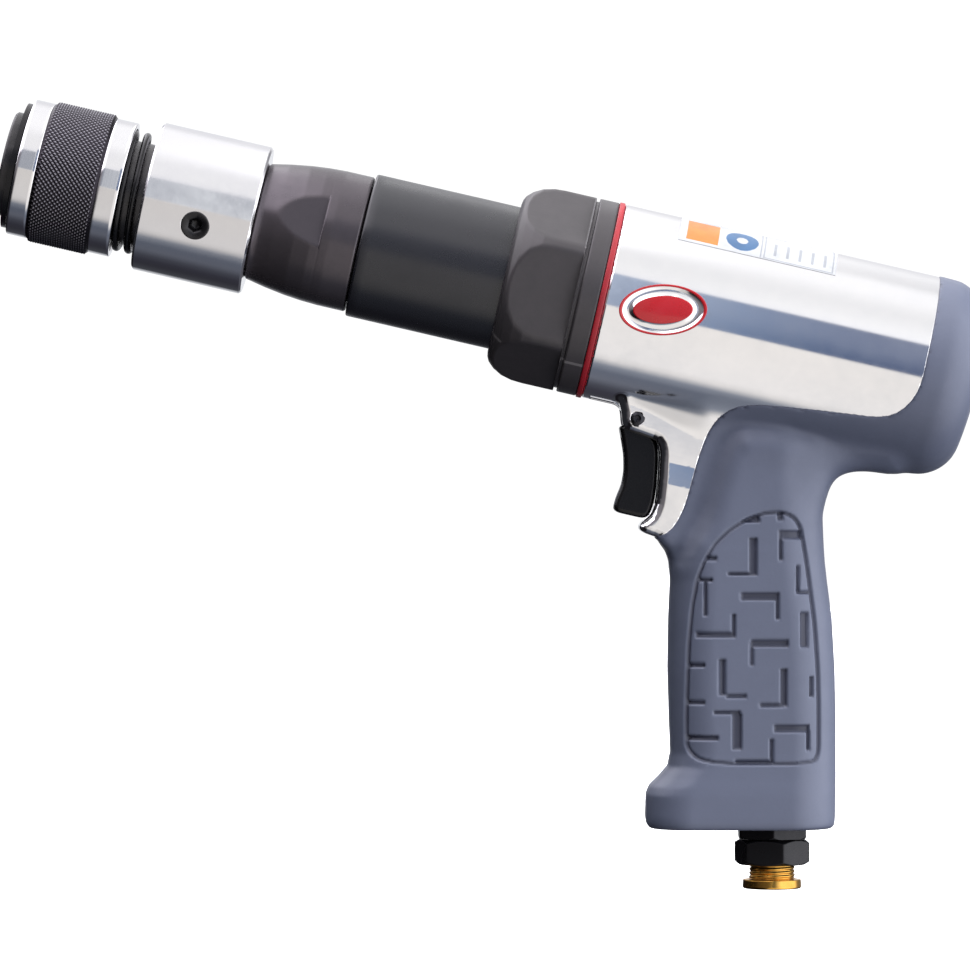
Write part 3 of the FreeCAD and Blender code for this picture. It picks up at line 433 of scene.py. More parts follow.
class EffectGroups:
    """The node groups that several finishes share, each with one number out."""

    def __init__(self) -> None:
        """Make each group once."""
        self.grain = {
            Grain.TURNED: self._new("turned_grain", self._turned_grain, Fineness=3.0),
            Grain.CAST: self._new("cast_grain", self._cast_grain, Fineness=900.0),
            Grain.DRAWN: self._new("drawn_grain", self._drawn_grain, Fineness=2.0),
        }
        self.handled = self._new("handled_marks", self._handled_marks, Size=40.0)
        self.edges = self._new("edge_wear", self._edge_wear, Start=0.53, End=0.6, Patch=300.0)

    @staticmethod
    def _new(name: str, fill: Callable, **inputs: float) -> bpy.types.NodeTree:
        """Make a group with float sockets and let a function wire its inside.

        Args:
            name: the group's name.
            fill: takes the wiring, the group's inputs and the object coordinates; gives the result.
            inputs: each input's name and default.

        Returns:
            The group.
        """
        tree = bpy.data.node_groups.new(name, "ShaderNodeTree")
        for title, value in inputs.items():
            socket = tree.interface.new_socket(name=title, in_out="INPUT", socket_type="NodeSocketFloat")
            socket.default_value = value
        tree.interface.new_socket(name="Result", in_out="OUTPUT", socket_type="NodeSocketFloat")
        wiring = Wiring(tree)
        entry, leave = tree.nodes.new("NodeGroupInput"), tree.nodes.new("NodeGroupOutput")
        result = fill(wiring, entry.outputs, wiring.add("TexCoord").outputs["Object"])
        tree.links.new(result, leave.inputs[0])
        return tree

    @staticmethod
    def _turned_grain(w: Wiring, entry: Sequence[Socket], place: Socket) -> Socket:
        """Rings round the barrel axis: noise of (x, r) stretched far along the angle."""
        part = w.add("SeparateXYZ", {0: place}).outputs
        square = w.maths("ADD", w.times(part[1], part[1]), w.times(part[2], part[2]))
        spot = w.add("CombineXYZ", {0: part[0], 1: w.maths("SQRT", square), 2: w.times(part[1], 0.02)})
        scaled = w.add("VectorMath", {0: spot.outputs[0], "Scale": 1 / MM}, operation="SCALE")
        return w.noise(scaled.outputs[0], entry["Fineness"], 3.0, 0.6)

    @staticmethod
    def _cast_grain(w: Wiring, entry: Sequence[Socket], place: Socket) -> Socket:
        """A pebbled skin: cell distance and noise added."""
        cells = w.add("TexVoronoi", {"Vector": place, "Scale": entry["Fineness"]})
        noise = w.noise(place, w.times(entry["Fineness"], 0.6), 3.0)
        return w.maths("ADD", w.times(cells.outputs["Distance"], 0.5), noise)

    @staticmethod
    def _drawn_grain(w: Wiring, entry: Sequence[Socket], place: Socket) -> Socket:
        """Long polishing lines along the barrel: noise stretched along x."""
        shape = w.add("VectorMath", {0: place, 1: (45.0, 1000.0, 1000.0)}, operation="MULTIPLY")
        return w.noise(shape.outputs[0], entry["Fineness"], 4.0, 0.65)

    @staticmethod
    def _handled_marks(w: Wiring, entry: Sequence[Socket], place: Socket) -> Socket:
        """Soft patches left by hands and cloths: two noises multiplied and spread to 0 to 1."""
        broad = w.noise(place, entry["Size"], 4.0)
        fine = w.noise(place, w.times(entry["Size"], 5.0), 6.0, 0.7)
        return w.spread(w.times(broad, fine), 0.12, 0.42)

    @staticmethod
    def _edge_wear(w: Wiring, entry: Sequence[Socket], place: Socket) -> Socket:
        """Rubbed edges: how convex the surface is, broken up by noise."""
        convex = w.add("NewGeometry").outputs["Pointiness"]
        patch = w.noise(place, entry["Patch"], 5.0)
        raised = w.fused(w.maths("SUBTRACT", patch, 0.5), 0.06, convex)
        return w.spread(raised, entry["Start"], entry["End"])


@dataclass(frozen=True)
class Finish:
    """One surface finish, made into a material when it is first asked for."""

    colour: tuple[float, float, float]
    metallic: float = 0.0
    rough: float = 0.4
    spread: float = 0.08
    grain: Grain = Grain.CAST
    fineness: float = 900.0
    relief: float = 0.02
    second: Optional[tuple[float, float, float]] = None
    patch: float = 40.0
    worn: Optional[tuple[float, float, float]] = None
    wear_start: float = 0.53
    coat: float = 0.0
    specular: float = 0.5
    soft_edge: float = 0.0
    # Colour of the painted shade that darkens recesses, mixed in by each point's painted shade share.
    painted_shade: Optional[tuple[float, float, float]] = None

    def make(self, name: str, groups: EffectGroups) -> bpy.types.Material:
        """Wire the material.

        Args:
            name: the material's name.
            groups: the shared node groups.

        Returns:
            The material.
        """
        material = bpy.data.materials.new(name)
        material.use_nodes = True
        tree = material.node_tree
        tree.nodes.clear()
        w = Wiring(tree)
        marks = w.group(groups.handled, Size=self.patch)
        other = self.second or tuple(c * 0.86 for c in self.colour)
        shown = w.mix(marks, srgb(*self.colour), srgb(*other))
        if self.worn:
            mask = w.group(groups.edges, Start=self.wear_start, End=self.wear_start + 0.09)
            shown = w.mix(mask, shown, srgb(*self.worn))
        # Painted shade: each point's noted share darkens the colour towards the painted shade colour.
        if self.painted_shade:
            depth = w.add("Attribute", attribute_name="painted_shade").outputs["Fac"]
            shown = w.mix(depth, shown, srgb(*self.painted_shade))
        roughness = w.add("MapRange", {
            "Value": marks, "To Min": max(self.rough - self.spread / 2, 0.02),
            "To Max": self.rough + self.spread / 2,
        }).outputs[0]
        height = w.group(groups.grain[self.grain], Fineness=self.fineness)
        bump = w.add("Bump", {"Strength": 1.0, "Distance": self.relief * MM, "Height": height})
        if self.soft_edge:
            bevel = w.add("Bevel", {"Radius": self.soft_edge * MM}, samples=4)
            tree.links.new(bevel.outputs[0], bump.inputs["Normal"])
        shader = w.add("BsdfPrincipled", {
            "Base Color": shown, "Metallic": self.metallic, "Roughness": roughness,
            "Normal": bump.outputs[0], "Coat Weight": self.coat, "Coat Roughness": 0.08,
            "Specular IOR Level": self.specular,
        })
        out = w.add("OutputMaterial")
        tree.links.new(shader.outputs[0], out.inputs["Surface"])
        return material


FINISHES: dict[str, Finish] = {
    "black_steel": Finish((26, 25, 28), 0.35, 0.30, 0.12, Grain.TURNED, 2.4, 0.006, worn=(70, 68, 70),
                          soft_edge=0.35, patch=90.0),
    "ball_steel": Finish((205, 206, 210), 1.0, 0.10, 0.04, Grain.CAST, 1500.0, 0.001),
    "sleeve_chrome": Finish((240, 239, 240), 1.0, 0.09, 0.06, Grain.TURNED, 2.0, 0.0012,
                            second=(232, 231, 234), patch=60.0),
    # The knurl's valleys are darkened with painted shade, more the lower they lie between the ridges.
    "knurl_black": Finish((176, 174, 182), 0.80, 0.26, 0.08, Grain.CAST, 1400.0, 0.004,
                          second=(150, 148, 156), painted_shade=(36, 32, 39)),
    "spring_steel": Finish((24, 23, 26), 0.4, 0.26, 0.08, Grain.CAST, 1600.0, 0.004),
    "collar_steel": Finish((240, 239, 241), 1.0, 0.11, 0.05, Grain.TURNED, 2.6, 0.0012,
                           second=(232, 231, 234), soft_edge=0.2, patch=50.0),
    "barrel_steel": Finish((88, 82, 87), 0.55, 0.25, 0.06, Grain.TURNED, 1.6, 0.002,
                           second=(80, 75, 80), worn=(160, 152, 152), wear_start=0.57, patch=45.0),
    "piston_steel": Finish((160, 160, 165), 1.0, 0.18, 0.06, Grain.TURNED, 2.0, 0.002),
    "tube_black": Finish((34, 34, 41), 0.10, 0.28, 0.06, Grain.CAST, 1300.0, 0.003,
                         second=(30, 30, 37), patch=35.0, specular=0.75),
    "nut_black": Finish((72, 68, 71), 0.15, 0.38, 0.08, Grain.CAST, 1200.0, 0.006,
                        second=(64, 61, 64), worn=(120, 116, 118), wear_start=0.57, patch=40.0),
    "gasket_red": Finish((176, 28, 44), 0.0, 0.42, 0.08, Grain.CAST, 1200.0, 0.01),
    "seal_rubber": Finish((18, 18, 19), 0.0, 0.55, 0.10, Grain.CAST, 1000.0, 0.01),
    "housing_aluminium": Finish((242, 241, 242), 1.0, 0.10, 0.06, Grain.DRAWN, 1.2, 0.0016,
                                second=(234, 234, 236), patch=28.0),
    "valve_steel": Finish((128, 130, 136), 1.0, 0.22, 0.08, Grain.TURNED, 2.0, 0.003),
    # The grip's panel channels, outline groove and a thin line along the seam take painted shade.
    "grip_rubber": Finish((102, 108, 128), 0.0, 0.42, 0.08, Grain.CAST, 1100.0, 0.015,
                          second=(97, 103, 123), patch=30.0, specular=0.45, painted_shade=(60, 63, 80)),
    "trigger_plastic": Finish((18, 17, 19), 0.0, 0.22, 0.06, Grain.CAST, 1300.0, 0.003, specular=0.3),
    "pin_steel": Finish((54, 54, 58), 0.9, 0.28, 0.08, Grain.CAST, 1400.0, 0.004, soft_edge=0.3),
    "guide_brass": Finish((196, 158, 92), 1.0, 0.24, 0.08, Grain.TURNED, 2.2, 0.003),
    "seat_nylon": Finish((226, 223, 212), 0.0, 0.42, 0.08, Grain.CAST, 900.0, 0.01),
    "screen_steel": Finish((150, 150, 155), 1.0, 0.26, 0.08, Grain.CAST, 1200.0, 0.003),
    "nipple_brass": Finish((206, 160, 78), 1.0, 0.20, 0.10, Grain.CAST, 1200.0, 0.003,
                           second=(184, 136, 60), patch=120.0),
    "badge_red": Finish((196, 22, 34), 0.0, 0.28, 0.06, Grain.CAST, 1000.0, 0.004,
                        second=(184, 18, 30), coat=0.4),
    "label_film": Finish((196, 198, 202), 0.0, 0.35, 0.06, Grain.CAST, 1000.0, 0.003),
    "label_orange": Finish((214, 128, 52), 0.0, 0.30, 0.06, Grain.CAST, 1000.0, 0.003),
    "label_blue": Finish((62, 106, 152), 0.0, 0.30, 0.06, Grain.CAST, 1000.0, 0.003),
    "label_grey": Finish((160, 163, 170), 0.0, 0.30, 0.06, Grain.CAST, 1000.0, 0.003),
    "fitting_black": Finish((34, 33, 36), 0.55, 0.30, 0.12, Grain.CAST, 1100.0, 0.008,
                            second=(26, 26, 29), worn=(104, 100, 98), wear_start=0.56, patch=80.0),
}


@contextmanager
def opened(mesh: bpy.types.Mesh) -> Iterator[bmesh.types.BMesh]:
    """Open a mesh for edits of its points, edges and faces, and write them back at the end."""
    work = bmesh.new()
    work.from_mesh(mesh)
    yield work
    work.to_mesh(mesh)
    work.free()


def placed(name: str, data: bpy.types.ID) -> bpy.types.Object:
    """Make an object of the data and put it in the scene."""
    obj = bpy.data.objects.new(name, data)
    bpy.context.scene.collection.objects.link(obj)
    return obj


def places(mesh: bpy.types.Mesh) -> np.ndarray:
    """Give a mesh's points in millimetres, one row each."""
    flat = np.empty(len(mesh.vertices) * 3)
    mesh.vertices.foreach_get("co", flat)
    return flat.reshape(-1, 3) / MM


def note_painted_shade(mesh: bpy.types.Mesh, share: np.ndarray) -> None:
    """Note on each point, from 0 to 1, how much painted shade it takes where it lies in a recess, for
    the finish to darken.
    """
    values = mesh.attributes.new("painted_shade", "FLOAT", "POINT")
    values.data.foreach_set("value", share.astype(np.float32))


def refine(mesh: bpy.types.Mesh, pick: Callable[[np.ndarray], np.ndarray]) -> None:
    """Divide once the edges whose two ends are both picked.

    Args:
        mesh: the mesh.
        pick: tells for each point, in millimetres, whether it is in the region to be refined.
    """
    chosen = pick(places(mesh))
    with opened(mesh) as work:
        edges = [e for e in work.edges if chosen[e.verts[0].index] and chosen[e.verts[1].index]]
        bmesh.ops.subdivide_edges(work, edges=edges, cuts=1, use_grid_fill=True)


class Workshop:
    """Turns worked-out surfaces into pieces of the scene and gives them their finishes."""

    def __init__(self) -> None:
        """Start with the shared node groups and no material made."""
        self.groups = EffectGroups()
        self.made: dict[str, bpy.types.Material] = {}

    def material(self, name: str) -> bpy.types.Material:
        """Give the material of a finish, made once."""
        if name not in self.made:
            self.made[name] = FINISHES[name].make(name, self.groups)
        return self.made[name]

    def piece(
        self, name: str, points: np.ndarray, faces: np.ndarray, finish: str | Sequence[str],
        stands_for: Sequence[str], body: str = "frame", slot: Optional[str] = None,
        choice: Optional[np.ndarray] = None, clean: bool = True,
        detail: Optional[Callable[[bpy.types.Mesh], None]] = None, field: Optional[Field] = None,
    ) -> bpy.types.Object:
        """Make one piece and put it on its body.

        Args:
            name: the piece's name.
            points: its points in millimetres, one row each.
            faces: its faces as rows of indices.
            finish: the finish's name, or several for faces chosen by number.
            stands_for: the nodes that it replaces.
            body: the body that it rides on.
            slot: not used.
            choice: each face's number among the finishes.
            clean: whether doubled points are merged and the faces turned outwards.
            detail: further work on the mesh.
            field: the field whose level the points are settled on, for exact normals.

        Returns:
            The piece's object.
        """
        mesh = bpy.data.meshes.new(name)
        mesh.from_pydata((points * MM).tolist(), [], faces.tolist())
        names = [finish] if isinstance(finish, str) else list(finish)
        for each in names:
            mesh.materials.append(self.material(each))
        if choice is not None:
            mesh.polygons.foreach_set("material_index", choice.astype(np.int32))
        if clean:
            with opened(mesh) as work:
                bmesh.ops.remove_doubles(work, verts=work.verts, dist=0.002 * MM)
                bmesh.ops.dissolve_degenerate(work, edges=work.edges, dist=0.001 * MM)
                bmesh.ops.recalc_face_normals(work, faces=work.faces)
        obj = placed(name, mesh)
        if detail:
            detail(mesh)
        mesh.polygons.foreach_set("use_smooth", np.ones(len(mesh.polygons), bool))
        if field:
            settled, normals = settle(field, places(mesh), 2)
            mesh.vertices.foreach_set("co", (settled * MM).ravel())
            mesh.normals_split_custom_set_from_vertices(normals.tolist())
        mesh.update()
        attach(obj, body)
        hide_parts(*stands_for)
        LOG.info("piece %-24s %7d faces, rides on %s", name, len(mesh.polygons), body)
        return obj

    def lathe(
        self, name: str, corners: Sequence[Sequence[float]], finish: str, stands_for: Sequence[str],
        bevel: float, step: float = 3.0, segments: int = 160, body: str = "frame",
    ) -> bpy.types.Object:
        """Turn a profile with rounded corners into a piece.

        Args:
            name: the piece's name.
            corners: the closed profile's (axial, radial) corners.
            finish: the finish's name.
            stands_for: the nodes that it replaces.
            bevel: how far from each corner its curve starts.
            step: longest axial step.
            segments: points round the axis.
            body: the body that it rides on.

        Returns:
            The piece's object.
        """
        points, faces = turned(finer(rounded(corners, bevel), step), segments)
        return self.piece(name, points, faces, finish, stands_for, body)


# ---------------------------------------------------------------- sub-assemblies


@dataclass
class Retainer:
    """The quick-change retainer: chrome sleeve, knurled ring and spring."""

    shop: Workshop
    front: float = -36.0
    rear: float = -6.0
    ring_front: float = -30.2
    ring_rear: float = -12.2
    ring_radius: float = 20.3
    ring_seat: float = 18.9
    ridges: int = 90
    ridge_pitch: float = 1.42
    ridge_height: float = 0.48
    valley: float = 0.32
    ramp_radius: float = 15.297
    ball_radius: float = 14.7
    ramp: float = 0.24444
    screw_station: float = 17.2
    screw_dip: float = math.radians(16.3)

    def build(self) -> None:
        """Build the sleeve, the knurled ring and the spring."""
        lead = self.ramp_radius + 8.0 * self.ramp
        run_out = -28.0 + (self.ramp_radius - self.ball_radius) / self.ramp
        self.shop.lathe("retainer_sleeve_shell", [
            (self.front, lead), (run_out, self.ball_radius), (-12.0, self.ball_radius), (-12.0, 17.9),
            (self.rear, 17.9), (self.rear, 19.5), (self.ring_rear, 19.5),
            (self.ring_rear, self.ring_seat), (self.ring_front, self.ring_seat),
            (self.ring_front, 19.6), (self.front, 19.6),
        ], "sleeve_chrome", ["retainer_sleeve"], 0.35, 0.8, 192, "sleeve")
        self._knurled_ring()
        self._collar_screw()
        points, faces = coil_points(start=-10.85, span=10.7, pitch=3.5667, coil=16.45, wire=1.05)
        spring = self.shop.piece("sleeve_spring_coils", points, faces, "spring_steel",
                                 ["sleeve_spring"])
        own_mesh(spring)

    def _knurled_ring(self) -> None:
        """Build the ring: r = radius + height min(tri(x/p + Na), tri(x/p - Na)), a pyramid per cell."""
        cell = 6
        rows = int((self.ring_rear - self.ring_front) / self.ridge_pitch * cell)
        x = self.ring_front + (np.arange(rows + 1) / rows) * (self.ring_rear - self.ring_front)
        angle = round_angles(self.ridges * cell)
        axial, a = np.meshgrid(x, angle, indexing="ij")
        turns = a * self.ridges / FULL_TURN
        pitches = (axial - x[0]) / self.ridge_pitch
        lift = np.minimum(saw(pitches + turns), saw(pitches - turns))
        shoulder = smoothstep(np.minimum(axial - x[0], x[-1] - axial), 0.0, 1.0)
        low = self.ring_radius - self.valley
        radius = low - 0.45 * (1 - shoulder) + self.ridge_height * lift * shoulder
        seat = np.full((1, len(angle)), self.ring_seat)
        axial = np.concatenate([axial[:1], axial, axial[-1:]])
        radius = np.concatenate([seat, radius, seat])
        points = np.stack([axial, radius * np.cos(angle), radius * np.sin(angle)], -1).reshape(-1, 3)
        faces = grid_quads(len(axial), len(angle), True, True)

        # Painted shade: points low between the ridges get a share that darkens them in the finish.
        def paint_valley_shade(mesh: bpy.types.Mesh) -> None:
            place = places(mesh)
            lift = (np.hypot(place[:, 1], place[:, 2]) - low) / self.ridge_height
            note_painted_shade(mesh, 1 - smoothstep(lift, 0.40, 0.95))

        self.shop.piece("sleeve_grip_knurl", points, faces, "knurl_black", ["sleeve_grip_ring"],
                        "sleeve", detail=paint_valley_shade)

    def _collar_screw(self) -> None:
        """Build the collar's screw: a cone head with a hexagon socket, r = half width / cos(angle)."""
        outline = np.array([
            (12.05, 0.0), (12.05, 2.2), (12.85, 3.0), (20.1, 3.0), (21.2, 4.1), (21.38, 4.05),
            (21.42, 3.75), (21.1, 2.2), (20.8, 1.72), (18.6, 1.7), (18.6, 0.0),
        ])

        def shape(x: np.ndarray, r: np.ndarray, a: np.ndarray) -> np.ndarray:
            return np.where((r > 1.6) & (r < 1.8) & (x > 18.0), r / np.cos(from_flat(a)), r)

        points, faces = turned(outline, 96, shape)
        axial, across, up = points.T
        dip = self.screw_dip
        place = np.stack([self.screw_station + across, -math.cos(dip) * axial - math.sin(dip) * up,
                          -math.sin(dip) * axial + math.cos(dip) * up], -1)
        self.shop.piece("collar_socket_screw", place, faces, "black_steel", ["collar_set_screw"])


@dataclass
class Barrel:
    """The barrel's dark nose with its wrench flats, the black sleeve, the nut and the gasket."""

    shop: Workshop
    flat_distance: float = 17.97
    flat_front: float = 37.0
    flat_rear: float = 52.5
    flat_turn: float = math.radians(11.0)
    nut_half: float = 25.0
    nut_turn: float = math.radians(-5.0)
    nut_groove: float = 126.0

    def build(self) -> None:
        """Build the four pieces from front to rear."""
        self._barrel()
        self.shop.lathe("barrel_sleeve_tube", [
            (63.5, 16.65), (109.9, 16.65), (109.9, 20.7), (98.0, 20.72), (80.0, 20.7), (63.5, 20.7),
        ], "tube_black", ["barrel_sleeve"], 0.7)
        self._nut()
        self.shop.lathe("nut_gasket_ring", [
            (132.85, 22.1), (134.45, 22.1), (134.45, 28.5), (132.85, 28.5),
        ], "gasket_red", ["nut_gasket"], 0.35, segments=192)

    def _barrel(self) -> None:
        """Build the barrel: r = min(r(x), flat distance / |cos(angle from the flat)|) in the flats.

        The profile is fine only where it shows, and has two points at the flats' rear wall.
        """
        nose = [(33.0, 16.2), (33.6, 16.8), (39.0, 17.9), (45.0, 18.85), (50.0, 19.35), (55.0, 19.6),
                (62.7, 19.6), (63.1, 19.2)]
        outline = np.array([
            (0.0, 5.15), (0.0, 12.0), (33.0, 12.0), *nose, (63.1, 16.6), (111.9, 16.6), (112.0, 21.4),
            (117.9, 21.4), (117.9, 16.6), (151.0, 16.6), (151.0, 14.9), (153.0, 14.9), (153.0, 16.6),
            (160.0, 16.6), (160.0, 9.55), (34.0, 9.55), (31.0, 5.15),
        ])
        dense = finer(outline, 0.5)
        corner = (np.abs(dense[:, None] - outline[None]).sum(-1) < 1e-6).any(1)
        x, r = dense.T
        outside = (r > BORE_RADIUS) & (x > 32.9) & (x < 63.2)
        dense = dense[corner | outside | (np.arange(len(dense)) % 8 == 0)]
        x, r = dense.T
        wall = dense[(np.abs(x - self.flat_rear) < 0.26) & (r > 19.0)][:1]
        wall[:, 0] = self.flat_rear
        place = int(np.flatnonzero((x > self.flat_rear) & (r > 19.0))[0])
        dense = np.concatenate([dense[:place], wall - (1e-4, 0), wall + (1e-4, 0), dense[place:]])

        def shape(x: np.ndarray, r: np.ndarray, a: np.ndarray) -> np.ndarray:
            swing = np.abs(np.cos(a + math.pi + self.flat_turn))
            within = (x > self.flat_front) & (x < self.flat_rear) & (r > 16.7)
            return np.where(within, join(r, self.flat_distance / np.maximum(swing, 1e-3), 0.18), r)

        points, faces = turned(dense, 288, shape)
        self.shop.piece("barrel_tube", points, faces, "barrel_steel", ["barrel"])

    def _nut(self) -> None:
        """Build the nut: r = min(r(x), half width / cos(angle from the nearest flat)), edges eased."""
        outside = [(105.5, 21.5), (105.75, 22.9), (106.4, 24.2), (108.1, 25.8), (110.7, 27.2),
                   (113.9, 28.0), (117.0, 28.2), (126.0, 28.2)]
        groove = [(126.02, 28.2), (126.15, 28.05), (126.2, 27.2), (127.1, 27.2), (127.15, 28.0),
                  (127.4, 28.2), (132.5, 28.2), (132.8, 27.9)]
        bore = [(132.8, 22.1), (118.0, 22.1), (118.0, 21.45), (111.95, 21.45), (111.95, 20.75),
                (105.5, 20.75)]
        dense = finer(np.array(outside + groove + bore), 0.4)

        def shape(x: np.ndarray, r: np.ndarray, a: np.ndarray) -> np.ndarray:
            flat = self.nut_half / np.cos(from_flat(a + math.pi + self.nut_turn))
            return np.where((x <= self.nut_groove + 0.001) & (r > 24.0), join(r, flat, 0.5), r)

        points, faces = turned(dense, 540, shape)
        self.shop.piece("barrel_nut_body", points, faces, "nut_black", ["barrel_nut"])


@dataclass
class Housing:
    """The polished housing with its trigger neck, its badge and its label."""

    shop: Workshop
    radius: float = 28.2
    front: float = 134.5
    neck_half: float = 13.3
    slot_half: float = 7.9
    step: float = 0.75
    lip: float = 3.0
    badge_size: tuple[float, float] = (12.4, 7.2)
    badge_middle: tuple[float, float] = (151.0, 0.3)
    badge_tilt: float = math.radians(-14.0)
    neck_drops: tuple = (20.0, 41.0, 47.0, 67.0)
    neck_losses: tuple = (0.0, 1.30, 1.52, 2.85)
    slot: tuple = (
        (140.0, -29.5), (157.5, -29.5), (160.0, -33.0), (163.4, -38.0), (166.6, -52.0),
        (166.6, -58.35), (140.0, -58.35),
    )
    neck: tuple = (
        (144.5, -12.0), (144.9, -27.0), (146.6, -30.0), (147.4, -33.4), (149.5, -34.6),
        (158.2, -35.6), (159.7, -38.0), (161.2, -46.0), (162.0, -53.0), (161.4, -56.8),
        (158.9, -59.2), (158.7, -61.2), (160.5, -62.0), (164.8, -62.4), (166.0, -64.0),
        (168.0, -66.0), (169.6, -69.0), (171.0, -74.0), (176.0, -96.0), (196.0, -96.0),
        (190.0, -12.0),
    )
    region: tuple = (
        (226.0, 60.0), (226.0, -4.0), (224.6, -9.0), (221.5, -13.2), (217.0, -15.2), (200.0, -17.0),
        (184.0, -19.0), (177.5, -21.0), (173.4, -24.8), (171.2, -30.0), (170.3, -37.0),
        (169.6, -53.0), (167.8, -59.0), (164.5, -62.2), (150.0, -64.0), (100.0, -70.0),
        (100.0, -230.0), (360.0, -230.0), (360.0, 60.0),
    )

    def __post_init__(self) -> None:
        """Round the outlines once."""
        self.neck_line = rounded(self.neck, 1.6, 3)
        self.region_line = rounded(self.region, 3.0, 3)
        self.slot_line = rounded(self.slot, 1.2, 3)

    def seam(self, x: np.ndarray, z: np.ndarray) -> np.ndarray:
        """Side-view distance to the rubber's region, negative inside it."""
        return outline_distance(x, z, self.region_line)

    def bores(self, x: np.ndarray, y: np.ndarray, z: np.ndarray) -> np.ndarray:
        """Field of the hollows: barrel bore, exhaust and supply chambers and the throttle bore."""
        r = np.hypot(y, z)
        bore = np.maximum(r - BORE_RADIUS, x - 183.0)
        exhaust = np.maximum(r - 21.0, np.abs(x - 141.5) - 6.5)
        supply = np.maximum(r - 12.0, np.abs(x - 188.0) - 9.0)
        along, down = swap(x, z)
        throttle = np.maximum(np.hypot(y, down - THROTTLE_DOWN) - 7.0, np.abs(along - 163.6) - 18.6)
        return np.minimum(np.minimum(bore, exhaust), np.minimum(supply, throttle))

    def outside(self, x: np.ndarray, y: np.ndarray, z: np.ndarray) -> np.ndarray:
        """Field of the bare casting: a cylinder joined to a neck with round edges."""
        r = np.hypot(y, z)
        shell = tray(r - self.radius, self.front - x, 0.5)
        half = self.neck_half - np.interp(-z, self.neck_drops, self.neck_losses)
        neck = tray(outline_distance(x, z, self.neck_line), np.abs(y) - half, 2.6)
        blend = 2.0 + 5.0 * smoothstep(x, 146.0, 174.0)
        return join(shell, neck, blend)

    def field(self, x: np.ndarray, y: np.ndarray, z: np.ndarray) -> np.ndarray:
        """Field of the housing that shows, with a lip that runs on under the rubber."""
        seam = self.seam(x, z)
        body = self.outside(x, y, z)
        solid = np.maximum(body + 0.6 * np.maximum(-seam - 0.25, 0.0), -seam - self.lip)
        slot = outline_distance(x, z, self.slot_line)
        solid = keep_both(solid, -np.maximum(slot, np.abs(y) - self.slot_half), 0.5)
        across = np.abs(np.abs(np.abs(y) - 4.0) - 2.0) - 1.0
        slots = np.maximum(np.maximum(across, np.abs(x - 141.25) - 4.25), z + 18.0)
        pin = np.hypot(x - PIN_X, z - PIN_Z) - PIN_BORE
        solid = np.maximum(solid, -np.minimum(slots, pin))
        return np.maximum(solid, -self.bores(x, y, z))

    def build(self) -> None:
        """Build the casting, its pivot boss, badge and label."""
        points, faces = level_surface(self.field, (132.7, -29.6, -67.0), (230.2, 29.6, 29.6), self.step)
        self.shop.piece("housing_casting", points, faces, "housing_aluminium", ["housing"],
                        clean=False, field=self.field, detail=lambda mesh: refine(mesh, self._fine))
        self._pivot()
        self._badge()
        self._label()

    def _fine(self, place: np.ndarray) -> np.ndarray:
        """Tell which points lie on the neck's front or beside the seam."""
        x, y, z = place.T
        front = (z < -25.0) & (x < 168.0) & (np.hypot(y, z) > 25.0)
        return front | ((np.abs(self.seam(x, z)) < 1.3) & (np.hypot(y, z) > 25.5))

    def _pivot(self) -> None:
        """Build the trigger's pivot screw: a turned pin with a socketed head at each end."""
        pin = [(-12.9, 0.95), (-12.4, 2.2), (-12.0, 2.45), (-11.6, 1.8), (11.6, 1.8), (12.0, 2.45),
               (12.4, 2.2), (12.9, 0.95), (11.8, 0.9), (11.8, 0.0), (-11.8, 0.0), (-11.8, 0.9)]
        points, faces = turned(finer(rounded(pin, 0.18), 1.5), 48)
        place = np.stack([PIN_X + points[:, 1], points[:, 0], PIN_Z + points[:, 2]], -1)
        self.shop.piece("trigger_pivot_pin", place, faces, "pin_steel", ["trigger_pin"])

    def _on_badge(self, u: np.ndarray, v: np.ndarray, lift: np.ndarray) -> np.ndarray:
        """Turn flat places by the badge's tilt and wrap them round the near side by arc length."""
        tilt, (middle, rise) = self.badge_tilt, self.badge_middle
        x = middle + u * math.cos(tilt) + v * math.sin(tilt)
        a = (rise - u * math.sin(tilt) + v * math.cos(tilt)) / self.radius
        r = self.radius + lift
        return np.stack([x, -r * np.cos(a), r * np.sin(a)], -1).reshape(-1, 3)

    def _badge(self) -> None:
        """Build a plain oval: a raised ring round a raised oval, over a thin plate."""
        rings = np.array([
            (0.02, 1.0), (0.30, 1.0), (0.34, 0.99), (0.34, 0.93), (0.06, 0.92),
            (0.06, 0.68), (0.32, 0.67), (0.34, 0.65), (0.34, 0.0), (0.02, 1.0), (0.02, 0.0),
        ])
        gap, rows, around = 4, len(rings) - 2, 144
        angle = round_angles(around)
        lift, size = rings[:, :1], rings[:, 1:]
        squeeze = np.where(size < 0.72, 0.80, 1.0)
        wide, high = self.badge_size
        u, v = wide * size * np.cos(angle), high * size * squeeze * np.sin(angle)
        points = self._on_badge(u, v, np.broadcast_to(lift, u.shape))
        faces = np.concatenate([
            grid_quads(rows, around, False, True), grid_quads(2, around, False, True) + rows * around,
        ])
        choice = (np.arange(len(faces)) // around == gap).astype(int)
        self.shop.piece("side_badge_oval", points, faces, ["badge_red", "housing_aluminium"],
                        ["side_badge"], choice=choice)

